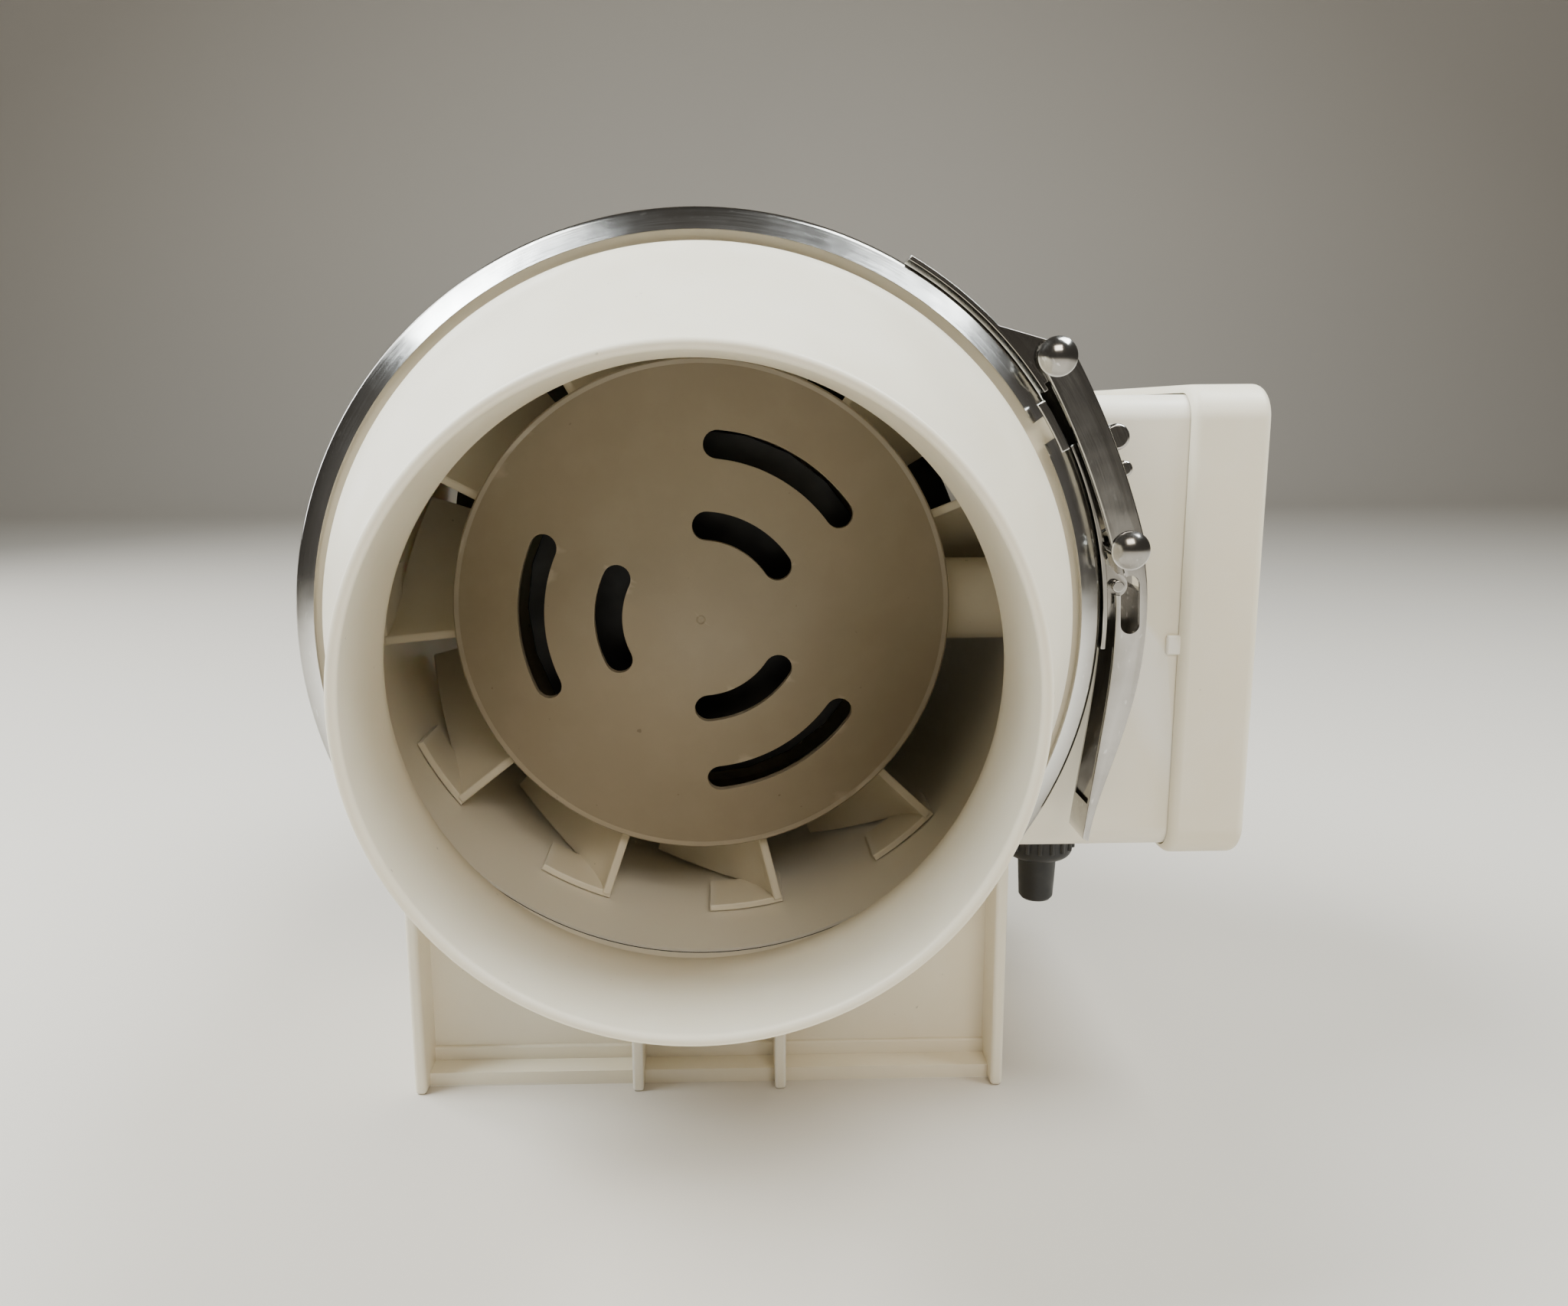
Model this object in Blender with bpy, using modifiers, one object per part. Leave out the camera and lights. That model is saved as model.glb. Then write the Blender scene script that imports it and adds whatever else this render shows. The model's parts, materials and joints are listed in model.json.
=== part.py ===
"""Inline duct fan, 100 mm class: a mixed-flow fan in a moulded casing between two flared duct
collars, held by two V-band clamps with toggle latches, on a moulded foot with a terminal box.

Frame: the fan's axis is along Y, the outlet faces -Y, +Z is up and the terminal box is at +X.
The origin is on the underside of the foot, straight below the middle of the fan's axis.
"""

import math

import bmesh
import bpy
from mathutils import Vector

MM = 0.001
FIT = 0.3 * MM  # gap between two pieces that seat on each other

# Overall
AXIS_HEIGHT = 109.0 * MM
TOTAL_LENGTH = 246.0 * MM
COLLAR_LENGTH = 68.0 * MM

# Duct collars
SPIGOT_R = 48.75 * MM
SPIGOT_STRAIGHT = 20.0 * MM
COLLAR_WALL = 1.8 * MM
LIP_BEAD = 0.5 * MM
FLANGE_HEIGHT = 4.8 * MM
FLANGE_THICKNESS = 3.0 * MM
GASKET_THICKNESS = 0.9 * MM

# Casing
CASING_R = 69.0 * MM
CASING_WALL = 2.5 * MM
WIRE_BORE_R = 4.5 * MM

# Guide vanes, hub and cable conduit
HUB_R = 50.0 * MM
HUB_WALL = 2.0 * MM
HUB_FRONT = 39.0 * MM  # from the middle of the fan to the hub's front edge, towards the outlet
HUB_LENGTH = 44.0 * MM
HUB_DOME = 11.0 * MM
VANE_POSITIONS = 11
VANE_START_ANGLE = 21.8
VANE_THICKNESS = 1.9 * MM
VANE_DEPTH = 34.0 * MM
VANE_SETBACK = 3.0 * MM
VANE_SWEEP = 24.0  # degrees that a vane turns from its front edge to its back edge
TIP_FLANGE_SPAN = 13.0
TIP_FLANGE_DEPTH = 14.0 * MM
TIP_FLANGE_THICKNESS = 1.4 * MM
CONDUIT_R = 8.6 * MM
CONDUIT_SETBACK = 13.0 * MM

# Slots in the hub cover: three groups of one long and one short arc
SLOT_GROUPS = 3
SLOT_WIDTH = 5.5 * MM
SLOT_RINGS = ((33.5 * MM, 24.0), (18.0 * MM, 26.0))  # radius and half angle between the round ends
COVER_SKIRT = 5.0 * MM

# Motor
MOTOR_R = 36.0 * MM
MOTOR_WALL = 1.6 * MM
MOTOR_LENGTH = 34.0 * MM
STATOR_R = 31.0 * MM
STATOR_BORE_R = 18.0 * MM
STATOR_LENGTH = 14.0 * MM
AIR_GAP = 0.5 * MM
WINDING_WIDTH = 7.0 * MM
WINDING_LENGTH = 4.5 * MM
SHAFT_R = 4.0 * MM
BEARING_R = 9.5 * MM
BEARING_WIDTH = 6.0 * MM

# Impeller
BLADE_COUNT = 7
BLADE_THICKNESS = 1.8 * MM
BLADE_SWEEP = 52.0
BLADE_RUNNING_GAP = 1.8 * MM
IMPELLER_WALL = 2.0 * MM
IMPELLER_LENGTH = 38.0 * MM
IMPELLER_NOSE_R = 17.0 * MM
IMPELLER_STANDOFF = 3.0 * MM
NOSE_TURN = 75.0  # degrees that the hub cone's outline turns through
BLADE_LEAN = 7.0  # degrees of lean at each of the blade's two outer stations
BLADE_SPAN = (0.06, 0.92)  # where a blade starts and ends, along the impeller
NUT_R = 7.0 * MM
NUT_HEIGHT = 5.0 * MM

# V-band clamps
BAND_THICKNESS = 0.9 * MM
BAND_WIDTH = 12.8 * MM
BAND_FLAT_WIDTH = 9.2 * MM
BAND_FLANK = 4.6 * MM
BAND_INNER_TURN = 0.4 * MM
BAND_GAP_ANGLE = 29.6
BAND_GAP = 4.6 * MM

# Toggle latch: height above the band, and angle up from +X
PIVOT_A_RISE = 5.4 * MM
PIVOT_A_ANGLE = 37.0
PIVOT_B_RISE = 5.1 * MM
PIVOT_B_ANGLE = 9.8
HOOK_PIN_RISE = 2.8 * MM
HOOK_PIN_ANGLE = 5.0
LEVER_TIP_RISE = 9.9 * MM
LEVER_TIP_ANGLE = -30.0
LEVER_TIP_HALF = 0.7 * MM
LEVER_SAG = 2.2 * MM  # how far the back of the lever comes in towards the band
STRAP_START_ANGLE = 60.0
STRAP_THICKNESS = 0.9 * MM
LATCH_WIDTH = 12.0 * MM
SHEET = 0.9 * MM
RIVET_R = 1.6 * MM
RIVET_HEAD_R = 3.6 * MM
RIVET_HEAD_HEIGHT = 1.5 * MM
LINK_HALF_WIDTH = 3.1 * MM
LINK_BOW = 1.2 * MM
LEVER_SLOT_LENGTH = 11.0 * MM
LEVER_SLOT_WIDTH = 3.6 * MM
HOOK_PIN_R = 1.1 * MM
CATCH_THICKNESS = 0.5 * MM

# Foot
FOOT_INSET = 3.7 * MM  # how far the foot's sides lie inside the casing's
FOOT_LENGTH = 69.0 * MM
FOOT_WALL = 2.6 * MM
FOOT_BASE = 3.2 * MM
FOOT_PLATE_SETBACK = 3.6 * MM
FOOT_PANEL_SETBACK = 10.0 * MM
FOOT_RIB_OFFSET = 15.8 * MM
FOOT_RIB_WIDTH = 2.5 * MM
FOOT_HOLE_R = 2.6 * MM
FOOT_HOLE_SPACING = 84.0 * MM
FOOT_SCREW_UNDER_BOX = 6.0 * MM
FOOT_TOP_SHARE = 0.42  # how far below the axis the foot's walls end, of the casing's radius

# Terminal box
BOX_LENGTH = 90.0 * MM
BOX_TOP = 42.0 * MM
BOX_BOTTOM = -50.0 * MM
BOX_BASE_DEPTH = 28.0 * MM
BOX_COVER_DEPTH = 13.3 * MM
BOX_WALL = 2.4 * MM
BOX_ROOT_SHARE = 0.66  # how far in, of the casing's radius, the box reaches round the casing
BOX_CORNER_R = 5.0 * MM
COVER_LIP = 1.6 * MM
COVER_OVERLAP = 2.2 * MM
BOX_GASKET = 0.9 * MM
POST_R = 4.2 * MM
POST_INSET = 9.0 * MM
SCREW_R = 1.7 * MM
SCREW_HEAD_R = 3.2 * MM
SCREW_HEAD_HEIGHT = 2.0 * MM
SCREW_LENGTH = 12.0 * MM

# Terminal block and capacitor, as (x, y, z) sizes
TERMINAL_WAYS = 3
TERMINAL_PITCH = 8.0 * MM
TERMINAL_SIZE = (13.0 * MM, 18.0 * MM, TERMINAL_WAYS * TERMINAL_PITCH)
TERMINAL_FRONT_Y = -4.0 * MM
TERMINAL_ENTRY_X = 4.0 * MM
TERMINAL_WELL_R = 2.2 * MM
CAPACITOR_SIZE = (16.0 * MM, 40.0 * MM, 28.0 * MM)
CONTENTS_CLEAR = 3.0 * MM  # from the fan's axis to the block above it and to the capacitor below

# Cable gland
GLAND_FROM_SEAM = 16.5 * MM
GLAND_THREAD_R = 6.0 * MM
GLAND_HEX_R = 9.2 * MM
GLAND_HEX_HEIGHT = 5.0 * MM
GLAND_CAP_HEIGHT = 13.0 * MM
GLAND_TAIL = 10.5 * MM
GLAND_BORE_R = 3.2 * MM
LOCKNUT_HEIGHT = 3.5 * MM

# Motor leads
WIRE_R = 1.1 * MM
WIRE_SPACING = 3.2 * MM

# Fineness of round shapes
STEPS_LARGE = 40
STEPS_MEDIUM = 24
STEPS_SMALL = 10

# Worked out from the sizes above
OUTLET_RIM_Y = -TOTAL_LENGTH / 2
OUTLET_JOINT_Y = OUTLET_RIM_Y + COLLAR_LENGTH + GASKET_THICKNESS / 2 + FIT
INLET_JOINT_Y = -OUTLET_JOINT_Y
CASING_BORE_R = CASING_R - CASING_WALL
FLANGE_R = CASING_R + FLANGE_HEIGHT
BAND_INNER_R = FLANGE_R + 2 * FIT
BAND_R = BAND_INNER_R + BAND_THICKNESS
HUB_FRONT_Y = -HUB_FRONT
HUB_BACK_Y = HUB_FRONT_Y + HUB_LENGTH
VANE_FRONT_Y = HUB_FRONT_Y + VANE_SETBACK
CONDUIT_Y = HUB_FRONT_Y + CONDUIT_SETBACK
VANE_PITCH = 360.0 / VANE_POSITIONS
PIVOT_A = (BAND_R + PIVOT_A_RISE, PIVOT_A_ANGLE)
PIVOT_B = (BAND_R + PIVOT_B_RISE, PIVOT_B_ANGLE)
HOOK_PIN = (BAND_R + HOOK_PIN_RISE, HOOK_PIN_ANGLE)
LEVER_TIP = (BAND_R + LEVER_TIP_RISE, LEVER_TIP_ANGLE)
STRAP_INNER_R = BAND_R + FIT
STRAP_R = STRAP_INNER_R + STRAP_THICKNESS
LEVER_WIDTH = LATCH_WIDTH - 2 * SHEET - 2 * FIT
BOX_SEAM_X = CASING_R + BOX_BASE_DEPTH
BOX_OUTER_X = BOX_SEAM_X + BOX_COVER_DEPTH
GLAND_X = BOX_SEAM_X - GLAND_FROM_SEAM
SADDLE_R = CASING_R + FIT
FOOT_HALF_WIDTH = CASING_R - FOOT_INSET
FOOT_SCREW_DROP = FOOT_SCREW_UNDER_BOX - BOX_BOTTOM
FOOT_SCREW_Y = FOOT_LENGTH / 2 - FOOT_PANEL_SETBACK - FOOT_WALL - POST_R - 2 * FIT

PARTS = None
CUTTERS = None
MATERIALS = {}


# ---------------------------------------------------------------- scene set-up


def clear_scene():
    for obj in list(bpy.data.objects):
        bpy.data.objects.remove(obj)


def new_collection(name):
    collection = bpy.data.collections.new(name)
    bpy.context.scene.collection.children.link(collection)
    return collection


def material(name, colour, roughness, metallic=0.0):
    made = bpy.data.materials.new(name)
    made.use_nodes = True
    shader = made.node_tree.nodes["Principled BSDF"]
    shader.inputs["Base Color"].default_value = (*colour, 1.0)
    shader.inputs["Roughness"].default_value = roughness
    shader.inputs["Metallic"].default_value = metallic
    MATERIALS[name] = made


def make_materials():
    material("ivory_plastic", (0.74, 0.70, 0.61), 0.42)
    material("hub_plastic", (0.70, 0.65, 0.55), 0.48)
    material("stainless", (0.62, 0.61, 0.59), 0.22, 1.0)
    material("black_plastic", (0.02, 0.02, 0.02), 0.5)
    material("seal_rubber", (0.05, 0.05, 0.05), 0.8)
    material("zinc_steel", (0.55, 0.55, 0.55), 0.35, 1.0)
    material("lamination_steel", (0.28, 0.28, 0.30), 0.5, 1.0)
    material("copper_winding", (0.60, 0.25, 0.10), 0.35, 1.0)
    material("lead_brown", (0.20, 0.08, 0.03), 0.5)
    material("lead_blue", (0.05, 0.15, 0.50), 0.5)
    material("capacitor_white", (0.80, 0.80, 0.78), 0.4)


# ---------------------------------------------------------------- shape helpers


def add(name, mesh, finish=None):
    """A new object with this mesh; without a finish it is a cutter or a blank for one."""
    obj = bpy.data.objects.new(name, mesh)
    if finish is None:
        CUTTERS.objects.link(obj)
        obj.hide_render = True
        obj.display_type = "WIRE"
    else:
        PARTS.objects.link(obj)
        mesh.materials.append(MATERIALS[finish])
    return obj


def turned(name, profile, finish=None, steps=STEPS_LARGE, closed=True, centre=(0, 0, AXIS_HEIGHT)):
    """A solid of revolution about the fan's axis from (radius, y) points.

    The profile runs along the outer side towards +Y and back along the inner side.
    """
    mesh = bpy.data.meshes.new(name)
    points = [(radius, 0.0, -y) for radius, y in profile]
    edges = [(i, i + 1) for i in range(len(points) - 1)]
    if closed:
        edges.append((len(points) - 1, 0))
    mesh.from_pydata(points, edges, [])
    obj = add(name, mesh, finish)
    obj.location = centre
    obj.rotation_euler = (math.radians(90), 0, 0)
    screw = obj.modifiers.new("turn", "SCREW")
    screw.steps = steps
    screw.render_steps = steps
    screw.use_merge_vertices = True
    screw.merge_threshold = 0.00001
    screw.use_smooth_shade = True
    return obj


def rod(name, radius, y_low, y_high, finish=None, steps=STEPS_SMALL, x=0.0, z=AXIS_HEIGHT, bevel=0.0):
    """A solid cylinder along Y, with chamfered ends if bevel is more than 0."""
    profile = [(0, y_low)]
    for y, way in ((y_low, 1), (y_high, -1)):
        ends = [(radius - bevel, y), (radius, y + way * bevel)] if bevel else [(radius, y)]
        profile += ends[::way]
    profile += [(0, y_high)]
    return turned(name, profile, finish, steps, closed=False, centre=(x, 0, z))


def box(name, low, high, finish=None, bevel=0.0, segments=2):
    """A block between two corners, with its origin at its centre."""
    mesh = bpy.data.meshes.new(name)
    shape = bmesh.new()
    bmesh.ops.create_cube(shape, size=1.0)
    size = [high[i] - low[i] for i in range(3)]
    bmesh.ops.scale(shape, vec=size, verts=shape.verts)
    shape.to_mesh(mesh)
    shape.free()
    obj = add(name, mesh, finish)
    obj.location = [(high[i] + low[i]) / 2 for i in range(3)]
    if bevel:
        rounding = obj.modifiers.new("edges", "BEVEL")
        rounding.width = bevel
        rounding.segments = segments
        rounding.limit_method = "ANGLE"
    return obj


def cylinder(name, radius, start, end, finish=None, steps=STEPS_SMALL, end_radius=None):
    """A cylinder or a cone between two points in space."""
    start, end = Vector(start), Vector(end)
    mesh = bpy.data.meshes.new(name)
    shape = bmesh.new()
    bmesh.ops.create_cone(
        shape,
        cap_ends=True,
        segments=steps,
        radius1=radius,
        radius2=radius if end_radius is None else end_radius,
        depth=(end - start).length,
    )
    shape.to_mesh(mesh)
    shape.free()
    obj = add(name, mesh, finish)
    obj.location = (start + end) / 2
    obj.rotation_euler = (end - start).to_track_quat("Z", "Y").to_euler()
    return obj


def hex_nut(name, radius, bore, ends, finish):
    """A six-sided nut with a round bore, between two points."""
    start, end = Vector(ends[0]), Vector(ends[1])
    past = (end - start).normalized() * MM
    return cut(
        cylinder(name, radius, start, end, finish, steps=6),
        cylinder(name + "_bore", bore, start - past, end + past, steps=STEPS_MEDIUM),
    )


def curve_to_mesh(curve_obj, name, finish=None):
    """Replaces a curve object with a mesh of the same shape, its caps welded."""
    bpy.context.view_layer.update()
    graph = bpy.context.evaluated_depsgraph_get()
    mesh = bpy.data.meshes.new_from_object(curve_obj.evaluated_get(graph))
    mesh.name = name
    mesh.materials.clear()
    shape = bmesh.new()
    shape.from_mesh(mesh)
    bmesh.ops.remove_doubles(shape, verts=shape.verts, dist=0.000001)
    bmesh.ops.recalc_face_normals(shape, faces=shape.faces)
    shape.to_mesh(mesh)
    shape.free()
    placed = curve_obj.matrix_world.copy()
    bpy.data.objects.remove(curve_obj)
    obj = add(name, mesh, finish)
    obj.matrix_world = placed
    return obj


def plate(name, outline, y_low, y_high, finish=None):
    """A flat outline of (x, z) points, in the plane across the fan's axis, from y_low to y_high."""
    data = bpy.data.curves.new(name, "CURVE")
    data.dimensions = "2D"
    data.fill_mode = "BOTH"
    data.extrude = (y_high - y_low) / 2
    spline = data.splines.new("POLY")
    spline.points.add(len(outline) - 1)
    for point, (x, z) in zip(spline.points, outline):
        point.co = (x, z, 0, 1)
    spline.use_cyclic_u = True
    curve = bpy.data.objects.new(name + "_outline", data)
    CUTTERS.objects.link(curve)
    curve.rotation_euler = (math.radians(90), 0, 0)
    curve.location = (0, (y_low + y_high) / 2, AXIS_HEIGHT)
    return curve_to_mesh(curve, name, finish)


def wire(name, points, radius, finish):
    """A round wire through the points, on a smooth poly line."""
    data = bpy.data.curves.new(name, "CURVE")
    data.dimensions = "3D"
    data.bevel_depth = radius
    data.bevel_resolution = 2
    data.use_fill_caps = True
    spline = data.splines.new("POLY")
    spline.points.add(len(points) - 1)
    for point, place in zip(spline.points, points):
        point.co = (*place, 1)
    curve = bpy.data.objects.new(name + "_path", data)
    CUTTERS.objects.link(curve)
    return curve_to_mesh(curve, name, finish)


def combine(obj, other, operation):
    change = obj.modifiers.new(operation.lower() + "_" + other.name, "BOOLEAN")
    change.operation = operation
    change.solver = "EXACT"
    change.object = other
    return obj


def cut(obj, *others):
    for other in others:
        combine(obj, other, "DIFFERENCE")
    return obj


def join(obj, *others):
    for other in others:
        combine(obj, other, "UNION")
    return obj


def joined_mesh(name, pieces):
    """One blank that holds several separate closed shapes, for a single Boolean."""
    bpy.context.view_layer.update()
    graph = bpy.context.evaluated_depsgraph_get()
    shape = bmesh.new()
    for piece in pieces:
        mesh = bpy.data.meshes.new_from_object(piece.evaluated_get(graph))
        mesh.transform(piece.matrix_world)
        shape.from_mesh(mesh)
        bpy.data.meshes.remove(mesh)
        bpy.data.objects.remove(piece)
    mesh = bpy.data.meshes.new(name)
    shape.to_mesh(mesh)
    shape.free()
    return add(name, mesh)


def polar(radius, degrees):
    """(x, z) across the axis; z is counted from the axis."""
    angle = math.radians(degrees)
    return (radius * math.cos(angle), radius * math.sin(angle))


def arc(centre, radius, start, end, count):
    """Points on an arc in the plane across the axis, angles in degrees."""
    steps = [start + (end - start) * i / (count - 1) for i in range(count)]
    return [(centre[0] + polar(radius, a)[0], centre[1] + polar(radius, a)[1]) for a in steps]


def sector(inner, outer, start, end, count):
    """The outline of a piece of a ring around the fan's axis."""
    return arc((0, 0), outer, start, end, count) + arc((0, 0), inner, end, start, count)


def stadium(centre, length, width, degrees, count=6):
    """The outline of a slot with round ends, at an angle."""
    half = (length - width) / 2
    along = polar(1.0, degrees)
    tip = (centre[0] + along[0] * half, centre[1] + along[1] * half)
    tail = (centre[0] - along[0] * half, centre[1] - along[1] * half)
    outline = arc(tip, width / 2, degrees - 90, degrees + 90, count)
    return outline + arc(tail, width / 2, degrees + 90, degrees + 270, count)


def ease(share):
    """A smooth step from 0 to 1."""
    return share * share * (3 - 2 * share)


# ---------------------------------------------------------------- duct collars


def collar_outer_r(share):
    """The outer radius along the flare, from the spigot (0) to the clamp flange (1)."""
    return SPIGOT_R + (CASING_R - SPIGOT_R) * ease(share)


def collar_profile():
    """(radius, distance behind the rim) of a collar, for the outlet."""
    flare_start = SPIGOT_STRAIGHT
    flare_end = COLLAR_LENGTH - FLANGE_THICKNESS
    shares = [i / 5 for i in range(6)]
    lip = COLLAR_WALL / 2
    outer = [(SPIGOT_R - lip, 0), (SPIGOT_R, lip)]
    outer += [(SPIGOT_R, 3 * lip), (SPIGOT_R - LIP_BEAD, 4 * lip)]
    outer += [(collar_outer_r(s), flare_start + (flare_end - flare_start) * s) for s in shares]
    flange = [(FLANGE_R, flare_end), (FLANGE_R, COLLAR_LENGTH), (CASING_BORE_R, COLLAR_LENGTH)]
    inner = [
        (collar_outer_r(s) - COLLAR_WALL - 0.4 * MM * s, flare_start + (flare_end - flare_start) * s)
        for s in reversed(shares[:-1])
    ]
    return outer + flange + inner + [(SPIGOT_R - COLLAR_WALL, lip)]


def build_collars():
    profile = collar_profile()
    turned("outlet_collar", [(r, OUTLET_RIM_Y + y) for r, y in profile], "ivory_plastic")
    mirrored = [(r, -OUTLET_RIM_Y - y) for r, y in reversed(profile)]
    turned("inlet_collar", mirrored, "ivory_plastic")
    half = GASKET_THICKNESS / 2
    for name, y in (("outlet_gasket", OUTLET_JOINT_Y), ("inlet_gasket", INLET_JOINT_Y)):
        ring = [(FLANGE_R - FIT, y - half), (FLANGE_R - FIT, y + half)]
        ring += [(CASING_BORE_R + FIT, y + half), (CASING_BORE_R + FIT, y - half)]
        turned(name, ring, "seal_rubber", STEPS_MEDIUM)


# ---------------------------------------------------------------- casing


def build_casing():
    """The middle tube with a clamp flange at each end, lugs for the foot and a hole for the leads."""
    end = INLET_JOINT_Y - GASKET_THICKNESS / 2 - FIT
    step = end - FLANGE_THICKNESS
    profile = [(FLANGE_R, -end), (FLANGE_R, -step), (CASING_R, -step)]
    profile += [(CASING_R, step), (FLANGE_R, step), (FLANGE_R, end)]
    profile += [(CASING_BORE_R, end), (CASING_BORE_R, -end)]
    casing = turned("casing", profile, "ivory_plastic")
    lug_outer = FOOT_HALF_WIDTH - FOOT_WALL - FIT
    screw_z = AXIS_HEIGHT - FOOT_SCREW_DROP
    for side in (-1, 1):
        root = CASING_R - CASING_WALL / 2
        inner = math.sqrt(root**2 - (FOOT_SCREW_DROP - SCREW_HEAD_R) ** 2) - 2 * MM
        low = (min(side * inner, side * lug_outer), -FOOT_SCREW_Y - POST_R, screw_z - POST_R)
        high = (max(side * inner, side * lug_outer), FOOT_SCREW_Y + POST_R, screw_z + POST_R)
        lug = box(f"lug_blank_{side}", low, high)
        clear = cylinder(
            f"lug_bore_clear_{side}", CASING_R - CASING_WALL / 2, (0, -end, AXIS_HEIGHT), (0, end, AXIS_HEIGHT),
            steps=STEPS_LARGE,
        )
        join(casing, cut(lug, clear))
    for number, (side, y) in enumerate(foot_screws(), 1):
        tip = lug_outer - SCREW_LENGTH + FOOT_WALL
        drill = cylinder(
            f"lug_hole_{number}", SCREW_R + FIT, (side * (tip - 2 * FIT), y, screw_z),
            (side * (lug_outer + MM), y, screw_z),
        )
        cut(casing, drill)
    hole = cylinder(
        "casing_wire_hole", WIRE_BORE_R, (CASING_BORE_R - 4 * MM, CONDUIT_Y, AXIS_HEIGHT),
        (CASING_R + 4 * MM, CONDUIT_Y, AXIS_HEIGHT),
    )
    cut(casing, hole)


def foot_screws():
    """(side, y) of each screw that holds the foot to the casing."""
    return [(side, y) for side in (-1, 1) for y in (-FOOT_SCREW_Y, FOOT_SCREW_Y)]


# ---------------------------------------------------------------- guide vanes and hub


def vane_sheet(name, start_angle):
    """One guide vane as an open curved sheet with a thickness."""
    rows = 4
    columns = (HUB_R - HUB_WALL / 2, CASING_BORE_R - FIT - TIP_FLANGE_THICKNESS / 2)
    shape = bmesh.new()
    grid = []
    for row in range(rows):
        share = row / (rows - 1)
        angle = start_angle - VANE_SWEEP * share**1.6
        y = VANE_FRONT_Y + VANE_DEPTH * share
        line = [Vector((polar(r, angle)[0], y, AXIS_HEIGHT + polar(r, angle)[1])) for r in columns]
        grid.append([shape.verts.new(place) for place in line])
    for row in range(rows - 1):
        shape.faces.new((grid[row][0], grid[row][1], grid[row + 1][1], grid[row + 1][0]))
    mesh = bpy.data.meshes.new(name)
    shape.to_mesh(mesh)
    shape.free()
    obj = add(name, mesh)
    thick = obj.modifiers.new("thickness", "SOLIDIFY")
    thick.thickness = VANE_THICKNESS
    thick.offset = 0
    return obj


def build_guide_vanes():
    """The hub cup, its vanes with a curved flange at each tip, and the conduit, moulded as one."""
    back = HUB_BACK_Y
    seat = BEARING_R + FIT
    profile = [(HUB_R, HUB_FRONT_Y), (HUB_R, back), (seat, back), (seat, back - 2 * HUB_WALL)]
    profile += [(HUB_R - HUB_WALL, back - 2 * HUB_WALL), (HUB_R - HUB_WALL, HUB_FRONT_Y)]
    vanes = turned("guide_vanes", profile, "ivory_plastic")
    sheets, flanges = [], []
    tip_r = CASING_BORE_R - FIT
    for number in range(VANE_POSITIONS - 1):
        angle = VANE_START_ANGLE + VANE_PITCH * number
        sheets.append(vane_sheet(f"vane_{number}", angle))
        outline = sector(tip_r - TIP_FLANGE_THICKNESS, tip_r, angle + 0.8, angle - TIP_FLANGE_SPAN, 4)
        deep = VANE_FRONT_Y + TIP_FLANGE_DEPTH
        flanges.append(plate(f"tip_flange_{number}", outline, VANE_FRONT_Y + 0.5 * MM, deep))
    conduit = cylinder(
        "conduit_blank", CONDUIT_R, (HUB_R - HUB_WALL / 2, CONDUIT_Y, AXIS_HEIGHT),
        (CASING_BORE_R - 3 * FIT, CONDUIT_Y, AXIS_HEIGHT), steps=24,
    )
    join(vanes, joined_mesh("vane_sheets", sheets), joined_mesh("tip_flanges", flanges), conduit)
    bore = cylinder(
        "conduit_bore", WIRE_BORE_R, (HUB_R - 6 * MM, CONDUIT_Y, AXIS_HEIGHT),
        (CASING_R + 5 * MM, CONDUIT_Y, AXIS_HEIGHT),
    )
    cut(vanes, bore)
    for number, (x, z) in enumerate(motor_screws(), 1):
        drill = rod(f"motor_screw_hole_{number}", SCREW_R + FIT, back - 3 * HUB_WALL, back + MM, x=x, z=z)
        cut(vanes, drill)


def motor_screws():
    """(x, z) of the two screws that hold the motor to the back wall of the hub."""
    radius = (BEARING_R + MOTOR_R) / 2
    return [(x, AXIS_HEIGHT + z) for x, z in (polar(radius, 90), polar(radius, 270))]


def build_hub_cover():
    """The domed cover over the motor, with a skirt inside the hub and three groups of slots."""
    edge = HUB_FRONT_Y - FIT
    wall = HUB_WALL
    ball = (HUB_R**2 + HUB_DOME**2) / (2 * HUB_DOME)
    count = 4

    def dome(radius):
        return edge - (math.sqrt(ball**2 - radius**2) - (ball - HUB_DOME))

    radii = [HUB_R * i / count for i in range(count + 1)]
    outer = [(r, dome(r)) for r in radii[:-1]] + [(HUB_R - 0.6 * MM, edge - MM), (HUB_R, edge)]
    skirt = HUB_R - HUB_WALL - FIT
    skirt_end = edge + COVER_SKIRT
    inside = [(skirt, edge), (skirt, skirt_end), (skirt - wall, skirt_end)]
    inside += [(r, dome(r) + wall) for r in reversed(radii[:-1])]
    cover = turned("hub_cover", outer + inside, "hub_plastic", closed=False)
    outlines = []
    for group in range(SLOT_GROUPS):
        middle = 180.0 + 360.0 * group / SLOT_GROUPS
        for radius, half in SLOT_RINGS:
            a, b = middle - half, middle + half
            outline = arc((0, 0), radius + SLOT_WIDTH / 2, a, b, 5)
            outline += arc(polar(radius, b), SLOT_WIDTH / 2, b, b + 180, 5)[1:-1]
            outline += arc((0, 0), radius - SLOT_WIDTH / 2, b, a, 5)
            outline += arc(polar(radius, a), SLOT_WIDTH / 2, a + 180, a + 360, 5)[1:-1]
            outlines.append(outline)
    for number, outline in enumerate(outlines):
        cut(cover, plate(f"cover_slot_{number}", outline, edge - HUB_DOME - 5 * MM, edge - 0.5 * MM))


# ---------------------------------------------------------------- motor and impeller


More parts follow.
